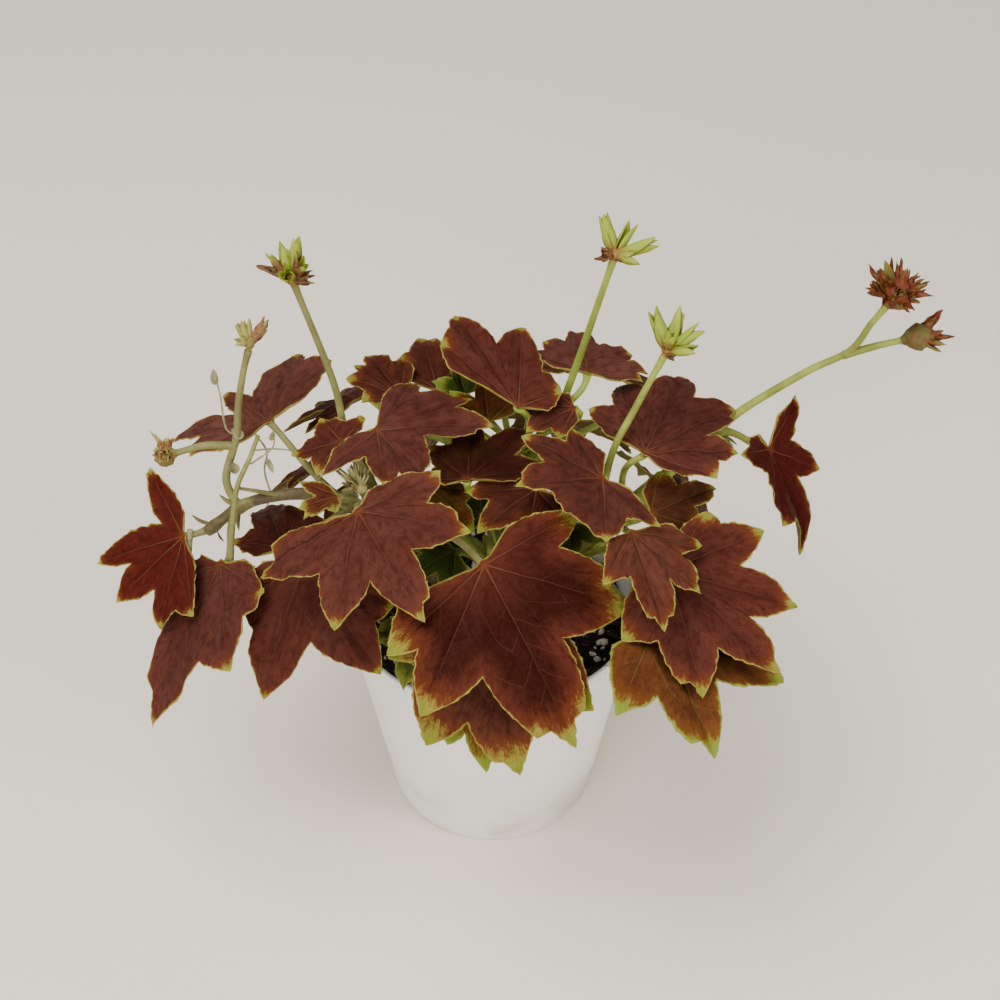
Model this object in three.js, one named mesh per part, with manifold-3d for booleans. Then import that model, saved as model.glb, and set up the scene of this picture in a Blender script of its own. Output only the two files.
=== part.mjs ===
// A potted geranium with lobed maroon leaves, built as its separate pieces: a plain round
// pot, the mix that fills it, four leafy shoots, every leaf blade and every flower head.
// Millimetres, +Z up. The origin is the centre of the pot's underside, +X is to the right
// of the plant and -Y is its front.

import * as THREE from 'three';
import * as BufferGeometryUtils from 'three/addons/utils/BufferGeometryUtils.js';
import Module from 'manifold-3d';

const wasm = await Module();
wasm.setup();

// Driving dimensions. BLADE, TEETH and BEND are shares of a leaf's size, but for the thickness,
// and PETIOLE_RUN gives a petiole's two middle points as shares of its reach.
const GAP = 0.3;
const POT = {
  height: 84, rim: 48, band: 12, step: 1.8, draft: 0.6, foot: 34, wall: 1.5, floor: 2.5, edge: 1,
  sides: 40,
};
const DRAIN = { count: 5, radius: 4, circle: 22, sides: 12 };
const SOIL = { top: 76, crown: 2.5, lump: 0.9, rings: 5, sides: 28, holeSlack: 0.4, holeSides: 10 };
const SOIL_FIT = 0.5;
const ROOT_DEPTH = 24;
const BLADE = { thickness: 0.8, sinus: 0.06, base: 0.14, baseTurn: 1.7, fall: 1.3 };
const TEETH = { out: 0.06, at: 0.52, valley: 0.035, valleyAt: 0.36 };
const BEND = { droop: 0.14, fold: 0.06, curl: 0.2, curlFrom: 0.62, wave: 0.03, pleat: 0.07 };
const STEM = { root: 3.2, tip: 2, sides: 7, steps: 12 };
const PETIOLE = { root: 1.5, tip: 1.15, sides: 5, steps: 5 };
const PETIOLE_RUN = { along: 0.3, toward: 0.1, below: 0.25, behind: 0.12 };
const STALK = { root: 1.6, tip: 1.1, sides: 5, steps: 7 };

// The four stems: each starts upright in the mix and leans out to its leaves.
const STEMS = {
  centre: [[3, -6, 52], [3, -6, 66], [3, -6, 80], [2, -12, 100], [0, -18, 122]],
  left: [
    [-14, 2, 52], [-14, 2, 76], [-18, 2, 90], [-28, 1, 108], [-42, -2, 124],
    [-57, -4, 131], [-74, -5, 128], [-87, -8, 119],
  ],
  right: [[20, 3, 52], [20, 3, 76], [24, 3, 90], [32, 2, 104], [44, 4, 118], [58, 8, 134], [70, 11, 144]],
  back: [[3, 20, 52], [3, 20, 66], [3, 20, 80], [5, 22, 104], [8, 18, 132]],
};

// The flower stalks: each leaves its stem, or another stalk, and passes through its points.
const STALKS = [
  {
    name: 'back_left', shoot: 'left', on: 'left', from: 0.52,
    path: [[-44, 13, 137], [-48, 19, 156], [-58, 25, 188]],
  },
  {
    name: 'back_right', shoot: 'back', on: 'back', from: 0.9,
    path: [[19, 18, 142], [24, 18.5, 157], [35, 17, 203]],
  },
  {
    name: 'middle', shoot: 'right', on: 'right', from: 0.5,
    path: [[35, -7, 147], [42, -2, 163], [50, 3, 179]],
  },
  {
    name: 'far_right', shoot: 'right', on: 'right', from: 0.97,
    path: [[76, 14, 149], [94, 15, 163], [106, 15, 171], [111, 15, 181], [115, 15, 188]],
  },
  {
    name: 'far_right_side', shoot: 'right', on: 'far_right', from: 0.68,
    path: [[114, 15, 173], [121, 15, 175]],
  },
  {
    name: 'left_old', shoot: 'left', on: 'left', from: 0.9,
    path: [[-80, -3, 136], [-76, 0, 150], [-75, 4, 159], [-73, 7, 169], [-71, 9, 176]],
  },
  {
    name: 'left_bud', shoot: 'left', on: 'left_old', from: 0.42,
    path: [[-86, 1, 146], [-95, 1, 143]],
  },
  {
    name: 'young', shoot: 'left', on: 'left', from: 0.47,
    path: [[-43, -8, 134], [-40, -11, 139]],
  },
];

// The flower heads: pointed sepals in rings round a small receptacle at a stalk's tip.
// A ring holds [number, tilt from the stalk in degrees, length, width].
const HEADS = [
  { on: 'back_left', tone: 'sepal', core: [2.3, 2.6], rings: [[6, 58, 9, 2.8], [5, 22, 10, 3]] },
  { on: 'back_right', tone: 'sepal', core: [2.2, 2.4], rings: [[6, 72, 9.5, 2.8], [4, 24, 10, 3]] },
  { on: 'middle', tone: 'sepal', core: [2.4, 2.6], rings: [[6, 66, 10.5, 3.2], [4, 26, 11, 3.2]] },
  {
    on: 'far_right', tone: 'rust', core: [3.4, 3.6],
    rings: [[7, 92, 8, 2], [7, 58, 8.5, 2], [5, 22, 8.5, 2]],
  },
  { on: 'far_right_side', tone: 'rust', core: [3, 4], rings: [[6, 48, 9, 2.2], [3, 14, 9.5, 2]] },
  { on: 'left_old', tone: 'dry', core: [1.8, 2.6], rings: [[5, 40, 7.5, 2], [4, 14, 8.5, 2]] },
  { on: 'left_bud', tone: 'dry', core: [2.4, 3], rings: [[5, 62, 5.5, 2], [4, 20, 6, 2]] },
  { on: 'young', tone: 'bud', core: [2.2, 2.2], rings: [[6, 72, 5.5, 2.6], [4, 28, 6, 2.6]] },
];

// The leaves. hub is where the petiole meets the blade, out the way the middle lobe points
// in plan, dip how far it points below level, bank the roll about it and size its length.
// lobes are [angle, length] round the hub and notches the blade's length between them, both
// as a share of size. A leaf without them has count lobes that stand spread degrees apart.
const LEAVES = [
  {
    name: 'leaf_front_big', tone: 'mature', stem: 'centre', from: 0.95,
    hub: [-2, -49, 145.5], out: -57, dip: 30, bank: 8, size: 54,
    lobes: [[-74, 0.69], [-50, 0.85], [1, 1.05], [49, 0.82], [94, 0.62]],
    notches: [0.58, 0.6, 0.56, 0.41],
  },
  {
    name: 'leaf_front_mid', tone: 'mature', stem: 'centre', from: 0.8,
    hub: [0, -47, 130], out: -84, dip: 33, bank: 16, size: 52,
    lobes: [[-69, 0.66], [-32, 0.9], [2, 0.97], [35, 0.82], [74, 0.55]],
    notches: [0.5, 0.71, 0.62, 0.48],
  },
  {
    name: 'leaf_front_low', tone: 'young', stem: 'centre', from: 0.66,
    hub: [-6, -48, 119], out: -84, dip: 50, bank: 4, size: 44,
    lobes: [[-80, 0.55], [-15, 0.83], [2, 1.02], [36, 0.85], [80, 0.65]],
    notches: [0.4, 0.7, 0.6, 0.5],
  },
  {
    name: 'leaf_left_front', tone: 'mature', stem: 'left', from: 0.38,
    hub: [-38, -33, 151], out: -63, dip: 1, bank: 26, size: 42,
    lobes: [[-100, 0.84], [-42, 0.86], [-3, 0.96], [41, 0.83], [79, 0.63]],
    notches: [0.51, 0.58, 0.58, 0.52],
  },
  {
    name: 'leaf_left_top', tone: 'mature', stem: 'left', from: 0.42,
    hub: [-34, -1, 154], out: -30, dip: -6, bank: 0, size: 40,
    lobes: [[-105, 0.58], [-39, 0.64], [37, 0.86], [57, 0.79], [98, 0.68]],
    notches: [0.32, 0.38, 0.7, 0.57],
  },
  {
    name: 'leaf_mid_right', tone: 'mature', stem: 'centre', from: 0.92,
    hub: [32, -22, 154], out: 205, dip: -10, bank: -8, size: 36,
    lobes: [[-94, 0.59], [-56, 0.76], [-12, 0.7], [68, 0.66], [110, 0.6]],
    notches: [0.6, 0.58, 0.44, 0.42],
  },
  {
    name: 'leaf_right_small', tone: 'mature', stem: 'right', from: 0.42,
    hub: [40, -38, 148], out: -72, dip: 10, bank: -15, size: 32,
    lobes: [[-43, 0.66], [1, 0.99], [37, 0.79], [75, 0.69]],
    notches: [0.64, 0.72, 0.58],
  },
  {
    name: 'leaf_right_big', tone: 'mature', stem: 'right', from: 0.36,
    hub: [51, -41, 135], out: -44, dip: 12, bank: 13, size: 44,
    lobes: [[-74, 0.57], [-33, 0.86], [4, 0.98], [31, 0.86], [73, 0.73], [104, 0.54]],
    notches: [0.51, 0.59, 0.56, 0.48, 0.49],
  },
  {
    name: 'leaf_right_low', tone: 'young', stem: 'right', from: 0.3,
    hub: [47, -53, 125], out: -63, dip: 14, bank: -8, size: 44,
    lobes: [[-54, 0.67], [0, 0.92], [48, 0.92], [85, 0.6]],
    notches: [0.58, 0.64, 0.5],
  },
  {
    name: 'leaf_right_back', tone: 'mature', stem: 'right', from: 0.58, bow: [4, 6, 0],
    hub: [45, -10, 153], out: 60, dip: -4, bank: 0, size: 38,
    lobes: [[-82, 0.59], [-47, 0.75], [-20, 0.98], [11, 1.2], [39, 0.97], [66, 0.7]],
    notches: [0.54, 0.7, 0.91, 0.6, 0.65],
  },
  {
    name: 'leaf_right_under', tone: 'young', stem: 'right', from: 0.5,
    hub: [47, -21, 139], out: 20, dip: 5, bank: 20, size: 26,
    lobes: [[-62, 0.7], [-25, 0.58], [15, 1.01], [62, 0.6]],
    notches: [0.5, 0.6, 0.5],
  },
  {
    name: 'leaf_far_right', tone: 'mature', stem: 'right', from: 0.98, fold: 0.35,
    hub: [84, 5, 141], out: -40, dip: 50, bank: -10, size: 34,
    lobes: [[-34, 0.71], [1, 1.07], [42, 0.58], [110, 0.62]],
    notches: [0.68, 0.39, 0.19],
  },
  {
    name: 'leaf_top_tall', tone: 'mature', stem: 'back', from: 0.9, bow: [3, 6, 0],
    hub: [8, 6, 157], out: 112, dip: -22, bank: 0, size: 34,
    lobes: [[-82, 0.44], [-24, 0.91], [8, 1.15], [43, 0.72]],
    notches: [0.67, 0.61, 0.76],
  },
  {
    name: 'leaf_top_flat', tone: 'mature', stem: 'back', from: 0.97,
    hub: [29, 21, 158], out: 90, dip: 2, bank: 6, size: 27,
    lobes: [[-83, 0.72], [-32, 0.98], [2, 1], [39, 0.78], [63, 0.76]],
    notches: [0.62, 0.66, 0.7, 0.62],
  },
  {
    name: 'leaf_centre_back', tone: 'mature', stem: 'back', from: 0.93,
    hub: [25, 10.5, 153], out: 178, dip: -2, bank: -4, size: 23,
    lobes: [[-50, 0.4], [-13, 0.84], [31, 0.79], [70, 0.6]],
    notches: [0.36, 0.55, 0.45],
  },
  {
    name: 'leaf_centre_dark', tone: 'mature', stem: 'back', from: 0.75, bow: [4, 4, 0],
    hub: [-7, -16, 148], out: 60, dip: -6, bank: 0, size: 30,
    lobes: [[-46, 0.78], [-6, 1.05], [29, 0.89], [70, 0.64], [115, 0.42]],
    notches: [0.55, 0.58, 0.5, 0.4],
  },
  {
    name: 'leaf_centre_hang', tone: 'young', stem: 'centre', from: 0.85, bow: [-4, 0, -4],
    hub: [-19, -13, 143], out: -80, dip: 32, bank: 5, size: 23,
    lobes: [[-70, 0.6], [26, 0.64], [70, 0.6]],
    notches: [0.5, 0.5],
  },
  {
    name: 'leaf_centre_low', tone: 'mature', stem: 'centre', from: 0.88,
    hub: [13, -18, 146], out: 222, dip: 0, bank: -6, size: 26,
    lobes: [[-72, 0.5], [-42, 0.8], [-1, 0.86], [41, 0.54], [84, 0.66]],
    notches: [0.46, 0.57, 0.5, 0.46],
  },
  {
    name: 'leaf_left_small', tone: 'mature', stem: 'left', from: 0.47,
    hub: [-45, 2, 147], out: 150, dip: 5, bank: -8, size: 19,
    lobes: [[-90, 0.62], [-30, 0.72], [38, 0.84], [90, 0.65]],
    notches: [0.52, 0.55, 0.5],
  },
  {
    name: 'leaf_left_tiny', tone: 'red', stem: 'left', from: 0.5,
    hub: [-45, -19, 144], out: 185, dip: 5, bank: -15, size: 13,
    lobes: [[-54, 0.71], [-35, 1.1], [15, 0.92], [67, 0.54]],
    notches: [0.6, 0.55, 0.6],
  },
  {
    name: 'leaf_left_winged', tone: 'mature', stem: 'left', from: 0.62,
    hub: [-68, 15, 144], out: 135, dip: 8, bank: -10, size: 36,
    lobes: [[-76, 0.93], [-55, 1], [-6, 0.74], [37, 0.97], [80, 0.55]],
    notches: [0.8, 0.45, 0.27, 0.45],
  },
  {
    name: 'leaf_far_left', tone: 'mature', stem: 'left', from: 0.98, fold: 0.3,
    hub: [-94, -10, 119], out: -140, dip: 38, bank: -8, size: 36,
    lobes: [[-113, 0.68], [-39, 0.85], [-13, 0.86], [28, 0.8], [55, 0.74]],
    notches: [0.21, 0.54, 0.54, 0.7],
  },
  {
    name: 'leaf_left_long', tone: 'mature', stem: 'left', from: 0.9,
    hub: [-82, -19, 116], out: -120, dip: 30, bank: 25, size: 52,
    lobes: [[-41, 0.29], [-7, 1.01], [26, 0.78], [81, 0.46]],
    notches: [0.35, 0.72, 0.59],
  },
  {
    name: 'leaf_left_lower', tone: 'mature', stem: 'left', from: 0.5,
    hub: [-55, -28, 127], out: -105, dip: 40, bank: 10, size: 46,
    lobes: [[-62, 0.42], [-11, 0.94], [26, 0.7], [49, 0.9], [76, 0.66]],
    notches: [0.36, 0.69, 0.68, 0.5],
  },
  {
    name: 'leaf_left_shaded', tone: 'mature', stem: 'left', from: 0.6,
    hub: [-65, 0, 104], out: 150, dip: 5, bank: 0, size: 26,
    lobes: [[-67, 0.89], [-41, 1.38], [8, 0.73]],
    notches: [0.6, 0.6],
  },
  {
    name: 'leaf_top_left_outer', tone: 'mature', stem: 'back', from: 0.8,
    hub: [-28, 22, 148], out: 135, dip: -5, bank: 0, size: 24,
    lobes: [[-48, 0.67], [-19, 0.92], [8, 0.8], [47, 0.52]],
    notches: [0.6, 0.7, 0.6],
  },
  {
    name: 'leaf_top_left_inner', tone: 'mature', stem: 'back', from: 0.85,
    hub: [-17, 27, 146], out: 95, dip: -8, bank: 0, size: 22,
    lobes: [[-19, 0.59], [8, 1.24], [37, 0.77]],
    notches: [0.6, 0.6],
  },
  {
    name: 'leaf_inner_left', tone: 'green', stem: 'centre', from: 0.6,
    hub: [-11, -17, 120], out: -150, dip: 8, bank: 0, size: 20,
    count: 3, spread: 60,
  },
  {
    name: 'leaf_inner_mid', tone: 'green', stem: 'centre', from: 0.5,
    hub: [-7.5, -2, 111.5], out: 190, dip: 0, bank: 0, size: 22,
    count: 3, spread: 60,
  },
  {
    name: 'leaf_inner_right', tone: 'green', stem: 'centre', from: 0.85,
    hub: [23, -21, 135], out: -90, dip: 14, bank: 0, size: 13,
    count: 3, spread: 60,
  },
  {
    name: 'leaf_inner_front', tone: 'green', stem: 'centre', from: 0.5,
    hub: [-20, -42, 112], out: -125, dip: 42, bank: 0, size: 19,
    count: 3, spread: 60,
  },
  {
    name: 'leaf_bud_fold', tone: 'green', stem: 'back', from: 0.9, fold: 0.4, bow: [-3, 6, 0],
    hub: [-8, 21, 149], out: 110, dip: -45, bank: 0, size: 13,
    count: 3, spread: 55,
  },
  {
    name: 'leaf_bud_upright', tone: 'young', stem: 'back', from: 0.93, fold: 0.3, bow: [-2, 4, 0],
    hub: [-1, 14, 144], out: 95, dip: -58, bank: 0, size: 17,
    count: 3, spread: 50,
  },
  {
    name: 'leaf_back_upper_left', tone: 'mature', stem: 'back', from: 0.7,
    hub: [-40, 42, 132], out: 132, dip: 30, bank: 0, size: 34,
    count: 5, spread: 44,
  },
  {
    name: 'leaf_back_upper_mid', tone: 'mature', stem: 'back', from: 0.78,
    hub: [2, 46, 139], out: 92, dip: 25, bank: 0, size: 36,
    count: 5, spread: 44,
  },
  {
    name: 'leaf_back_upper_right', tone: 'mature', stem: 'back', from: 0.74,
    hub: [48, 40, 135], out: 48, dip: 30, bank: 0, size: 35,
    count: 5, spread: 44,
  },
  {
    name: 'leaf_back_mid_left', tone: 'mature', stem: 'back', from: 0.55,
    hub: [-18, 52, 113], out: 108, dip: 50, bank: 0, size: 32,
    count: 5, spread: 44,
  },
  {
    name: 'leaf_back_mid_right', tone: 'mature', stem: 'back', from: 0.5,
    hub: [24, 54, 111], out: 80, dip: 50, bank: 0, size: 35,
    count: 5, spread: 44,
  },
  {
    name: 'leaf_back_far_left', tone: 'mature', stem: 'left', from: 0.4,
    hub: [-54, 40, 106], out: 138, dip: 38, bank: 0, size: 30,
    count: 5, spread: 44,
  },
  {
    name: 'leaf_back_far_right', tone: 'mature', stem: 'right', from: 0.4,
    hub: [60, 22, 108], out: 15, dip: 45, bank: 0, size: 28,
    count: 5, spread: 44,
  },
  {
    name: 'leaf_side_left', tone: 'mature', stem: 'left', from: 0.3,
    hub: [-48, 6, 102], out: 190, dip: 38, bank: 0, size: 32,
    count: 5, spread: 44,
  },
  {
    name: 'leaf_side_right', tone: 'mature', stem: 'right', from: 0.3,
    hub: [50, -4, 101], out: -18, dip: 42, bank: 0, size: 29,
    count: 5, spread: 44,
  },
  {
    name: 'leaf_back_lower_left', tone: 'young', stem: 'back', from: 0.42,
    hub: [-44, 52, 86], out: 132, dip: 42, bank: 0, size: 28,
    count: 5, spread: 44,
  },
  {
    name: 'leaf_back_lower_mid', tone: 'young', stem: 'back', from: 0.4,
    hub: [2, 60, 92], out: 88, dip: 50, bank: 0, size: 30,
    count: 5, spread: 44,
  },
  {
    name: 'leaf_back_lower_right', tone: 'young', stem: 'right', from: 0.22,
    hub: [54, 46, 92], out: 38, dip: 48, bank: 0, size: 26,
    count: 5, spread: 44,
  },
];

const TONES = {
  mature: { color: 0x6a2a24, roughness: 0.75 },
  young: { color: 0x7a5a2c, roughness: 0.75 },
  green: { color: 0x6f8a3a, roughness: 0.75 },
  red: { color: 0x8a3426, roughness: 0.7 },
  shoot: { color: 0x9aa85a, roughness: 0.65 },
  sepal: { color: 0x9cac4a, roughness: 0.65 },
  bud: { color: 0x8fa653, roughness: 0.7 },
  rust: { color: 0x8a4a28, roughness: 0.8 },
  dry: { color: 0x9a7a4a, roughness: 0.85 },
  pot: { color: 0xe9e6df, roughness: 0.45 },
  soil: { color: 0x2a211c, roughness: 0.95 },
};

const model = new THREE.Group();

function vector(xyz) {
  return new THREE.Vector3(xyz[0], xyz[1], xyz[2]);
}

// A repeatable draw between 0 and 1 for piece number i and purpose k.
function draw(i, k) {
  const value = Math.sin(i * 12.9898 + k * 78.233) * 43758.5453;
  return value - Math.floor(value);
}

function addMesh(name, geometry, tone) {
  const mesh = new THREE.Mesh(geometry, new THREE.MeshStandardMaterial({ ...TONES[tone], metalness: 0 }));
  mesh.name = name;
  model.add(mesh);
  return mesh;
}

function closedGeometry(positions, triangles) {
  const geometry = new THREE.BufferGeometry();
  geometry.setAttribute('position', new THREE.Float32BufferAttribute(positions, 3));
  geometry.setIndex(triangles);
  return geometry;
}

function toSolid(geometry) {
  const bare = geometry.clone();
  bare.deleteAttribute('normal');
  bare.deleteAttribute('uv');
  const merged = BufferGeometryUtils.mergeVertices(bare, 1e-4);
  return new wasm.Manifold(new wasm.Mesh({
    numProp: 3,
    vertProperties: new Float32Array(merged.attributes.position.array),
    triVerts: new Uint32Array(merged.index.array),
  }));
}

function toGeometry(solid) {
  const mesh = solid.getMesh();
  return closedGeometry(mesh.vertProperties, Array.from(mesh.triVerts));
}

// A round stem that tapers along a curve and is closed at both ends. Where face is given,
// the last ring lies flat against that direction, as a petiole meets a leaf's underside.
function taperedTube(curve, { root, tip, sides, steps }, face = null) {
  const frames = curve.computeFrenetFrames(steps, false);
  const positions = [];
  const triangles = [];
  for (let i = 0; i <= steps; i += 1) {
    const share = i / steps;
    const centre = curve.getPointAt(share);
    const radius = root + (tip - root) * share;
    const along = face && i === steps ? face : frames.tangents[i];
    const normal = frames.normals[i];
    const across = normal.clone().addScaledVector(along, -normal.dot(along)).normalize();
    const up = along.clone().cross(across);
    for (let j = 0; j < sides; j += 1) {
      const angle = (j / sides) * 2 * Math.PI;
      const point = centre.clone().addScaledVector(across, radius * Math.cos(angle));
      point.addScaledVector(up, radius * Math.sin(angle));
      positions.push(...point);
    }
  }
  for (let i = 0; i < steps; i += 1) {
    for (let j = 0; j < sides; j += 1) {
      const a = i * sides + j;
      const b = i * sides + ((j + 1) % sides);
      triangles.push(a, b, b + sides, a, b + sides, a + sides);
    }
  }
  const last = steps * sides;
  for (let j = 1; j < sides - 1; j += 1) {
    triangles.push(0, j + 1, j, last, last + j, last + j + 1);
  }
  return closedGeometry(positions, triangles);
}

// The pot: a thin tapered wall with a proud band under its rim and holes in its floor.
function buildPot() {
  const bandFoot = POT.height - POT.band;
  const under = POT.rim - POT.step - POT.draft;
  const profile = [
    [0, 0], [POT.foot - POT.edge, 0], [POT.foot, POT.edge], [under, bandFoot],
    [POT.rim - POT.draft, bandFoot + POT.edge], [POT.rim, POT.height - POT.edge],
    [POT.rim - POT.edge / 2, POT.height], [POT.rim - POT.wall, POT.height],
    [innerRadius(bandFoot), bandFoot], [innerRadius(POT.floor), POT.floor], [0, POT.floor],
  ];
  const points = profile.map(([radius, height]) => new THREE.Vector2(radius, height));
  let pot = toSolid(new THREE.LatheGeometry(points, POT.sides).rotateX(Math.PI / 2));
  for (let i = 0; i < DRAIN.count; i += 1) {
    const angle = (i / DRAIN.count) * 2 * Math.PI;
    const drill = new THREE.CylinderGeometry(DRAIN.radius, DRAIN.radius, POT.floor * 4, DRAIN.sides);
    drill.rotateX(Math.PI / 2);
    drill.translate(DRAIN.circle * Math.cos(angle), DRAIN.circle * Math.sin(angle), 0);
    pot = pot.subtract(toSolid(drill));
  }
  addMesh('pot', toGeometry(pot), 'pot');
}

// The inside radius of the pot's wall at a height below its band.
function innerRadius(height) {
  const bandFoot = POT.height - POT.band;
  const share = (height - POT.floor) / (bandFoot - POT.floor);
  return POT.foot - POT.wall + (POT.rim - POT.step - POT.draft - POT.foot) * share;
}

// The mix: fills the pot below its rim, with a lumpy crowned top and a hole for each stem.
function buildSoil() {
  const slack = GAP + SOIL_FIT;
  const bandFoot = POT.height - POT.band;
  const edge = innerRadius(bandFoot) - slack;
  const profile = [
    new THREE.Vector2(0, POT.floor + GAP),
    new THREE.Vector2(innerRadius(POT.floor) - slack, POT.floor + GAP),
    new THREE.Vector2(edge, bandFoot),
  ];
  for (let i = 0; i <= SOIL.rings; i += 1) {
    const share = i / SOIL.rings;
    const height = SOIL.top - SOIL.crown * (1 - share) ** 2;
    profile.push(new THREE.Vector2(edge * (1 - share), height));
  }
  const bed = new THREE.LatheGeometry(profile, SOIL.sides).rotateX(Math.PI / 2);
  const position = bed.attributes.position;
  for (let i = 0; i < position.count; i += 1) {
    const x = position.getX(i);
    const y = position.getY(i);
    const z = position.getZ(i);
    const lump = Math.sin(x * 0.31 + 1) * Math.cos(y * 0.27) + Math.sin(x * 0.13 - y * 0.21);
    if (z > bandFoot + GAP) {
      position.setZ(i, z + SOIL.lump * lump);
    }
  }
  let soil = toSolid(bed);
  const bore = STEM.root + SOIL.holeSlack;
  const holeFloor = SOIL.top - ROOT_DEPTH - SOIL.holeSlack;
  const depth = POT.height - holeFloor;
  for (const [foot] of Object.values(STEMS)) {
    const hole = new THREE.CylinderGeometry(bore, bore, depth, SOIL.holeSides).rotateX(Math.PI / 2);
    hole.translate(foot[0], foot[1], holeFloor + depth / 2);
    soil = soil.subtract(toSolid(hole));
  }
  addMesh('soil', toGeometry(soil), 'soil');
}

// The lobes of a leaf that lists none: evenly spread, shorter to the sides, with a small draw.
function lobesOf(leaf, i) {
  if (leaf.lobes) {
    return leaf;
  }
  const reach = [1, 0.88, 0.7];
  const half = (leaf.count - 1) / 2;
  const lobes = [];
  for (let k = -half; k <= half; k += 1) {
    const angle = k * leaf.spread + (draw(i, k + 9) - 0.5) * 8;
    lobes.push([angle, reach[Math.abs(k)] * (0.94 + 0.12 * draw(i, k + 20))]);
  }
  const notches = lobes.slice(1).map((lobe, k) => 0.58 * Math.min(lobe[1], lobes[k][1]));
  return { lobes, notches };
}

// The blade's outline as [angle in degrees, length as a share of size]. Each lobe falls from
// its tip to the notch at each side, with a valley a third of the way down and then a tooth.
function leafOutline({ lobes, notches }, i) {
  const last = lobes.length - 1;
  const teeth = [
    [-TEETH.at, TEETH.out], [-TEETH.valleyAt, -TEETH.valley], [0, 0],
    [TEETH.valleyAt, -TEETH.valley], [TEETH.at, TEETH.out],
  ];
  const points = [];
  lobes.forEach(([angle, length], k) => {
    const before = k > 0 ? (angle - lobes[k - 1][0]) / 2 : (lobes[1][0] - angle) / 2;
    const after = k < last ? (lobes[k + 1][0] - angle) / 2 : before;
    const lowBefore = k > 0 ? notches[k - 1] : length / 2;
    const lowAfter = k < last ? notches[k] : length / 2;
    if (k === 0) {
      points.push([angle - before * BLADE.baseTurn, BLADE.base * length], [angle - before, lowBefore]);
    }
    teeth.forEach(([t, bump], j) => {
      const low = t < 0 ? lowBefore : lowAfter;
      const half = t < 0 ? before : after;
      const edge = low + (length - low) * (1 - Math.abs(t) ** BLADE.fall);
      points.push([angle + t * half, edge + bump * length * (0.6 + 0.8 * draw(i, k * 7 + j))]);
    });
    points.push([angle + after, lowAfter]);
    if (k === last) {
      points.push([angle + after * BLADE.baseTurn, BLADE.base * length]);
    }
  });
  points.push([(points[0][0] + points[points.length - 1][0] + 360) / 2, BLADE.sinus]);
  return points;
}

// How far an angle lies from its lobe's midrib: 0 on the midrib and 1 at the notch.
function towardNotch(angle, lobes) {
  const last = lobes.length - 1;
  let k = 0;
  while (k < last && angle > (lobes[k][0] + lobes[k + 1][0]) / 2) {
    k += 1;
  }
  const before = k > 0 ? (lobes[k][0] - lobes[k - 1][0]) / 2 : (lobes[1][0] - lobes[0][0]) / 2;
  const after = k < last ? (lobes[k + 1][0] - lobes[k][0]) / 2 : (lobes[last][0] - lobes[last - 1][0]) / 2;
  const off = angle - lobes[k][0];
  return Math.min(1, Math.abs(off) / (off < 0 ? before : after));
}

// The blade's height over its plane: it droops, folds up along the midrib, curls down at the
// tips, waves round the margin and is pleated between the lobes.
function bladeHeight(x, y, size, lobes, i, fold) {
  const share = Math.hypot(x, y) / size;
  const angle = Math.atan2(y, x);
  const droop = -BEND.droop * share ** 2 * size;
  const rise = fold * Math.abs(y);
  const curl = -BEND.curl * size * Math.max(0, share - BEND.curlFrom) ** 2;
  const wave = BEND.wave * size * share ** 3 * Math.sin(3 * angle + 2 * Math.PI * draw(i, 3));
  const pleat = BEND.pleat * size * share * (towardNotch((angle * 180) / Math.PI, lobes) - 0.5);
  return droop + rise + curl + wave + pleat;
}

// The blade as one closed solid: the same triangles on its top and on its underside, from the
// hub to a ring halfway out and on to the outline, and a rim between them.
function bladeGeometry(leaf, i) {
  const shape = lobesOf(leaf, i);
  const outline = leafOutline(shape, i);
  const rim = outline.map(([angle, share]) => {
    const radians = (angle * Math.PI) / 180;
    return [leaf.size * share * Math.cos(radians), leaf.size * share * Math.sin(radians)];
  });
  const inner = rim.filter((point, k) => k % 2 === 1).map(([x, y]) => [x / 2, y / 2]);
  const flat = [[0, 0], ...inner, ...rim];
  const fold = leaf.fold ?? BEND.fold;
  const top = flat.map(([x, y]) => [x, y, bladeHeight(x, y, leaf.size, shape.lobes, i, fold)]);
  const under = top.map(([x, y, z]) => [x, y, z - BLADE.thickness]);
  const ring = (k) => 1 + (k % inner.length);
  const edge = (k) => 1 + inner.length + (k % rim.length);
  const faces = [];
  for (let k = 0; k < inner.length; k += 1) {
    const mid = 2 * k + 1;
    faces.push([0, ring(k), ring(k + 1)], [ring(k), edge(mid), edge(mid + 1)]);
    faces.push([ring(k), edge(mid + 1), ring(k + 1)], [edge(mid + 1), edge(mid + 2), ring(k + 1)]);
  }
  const below = flat.length;
  const triangles = [];
  faces.forEach(([a, b, c]) => triangles.push(a, b, c, c + below, b + below, a + below));
  for (let k = 0; k < rim.length; k += 1) {
    const a = edge(k);
    const b = edge(k + 1);
    triangles.push(a, a + below, b + below, a, b + below, b);
  }
  return closedGeometry([...top, ...under].flat(), triangles);
}

// The three directions of a leaf: forward along its middle lobe, left and up.
function leafFrame({ out, dip, bank }) {
  const [bearing, fall, roll] = [out, dip, bank].map(THREE.MathUtils.degToRad);
  const forward = new THREE.Vector3(
    Math.cos(bearing) * Math.cos(fall),
    Math.sin(bearing) * Math.cos(fall),
    -Math.sin(fall),
  );
  const left = new THREE.Vector3(-Math.sin(bearing), Math.cos(bearing), 0).applyAxisAngle(forward, roll);
  return { forward, left, up: forward.clone().cross(left) };
}

function buildLeaf(leaf, i) {
  const mesh = addMesh(leaf.name, bladeGeometry(leaf, i), leaf.tone);
  const { forward, left, up } = leafFrame(leaf);
  mesh.quaternion.setFromRotationMatrix(new THREE.Matrix4().makeBasis(forward, left, up));
  mesh.position.set(...leaf.hub);
}

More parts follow.
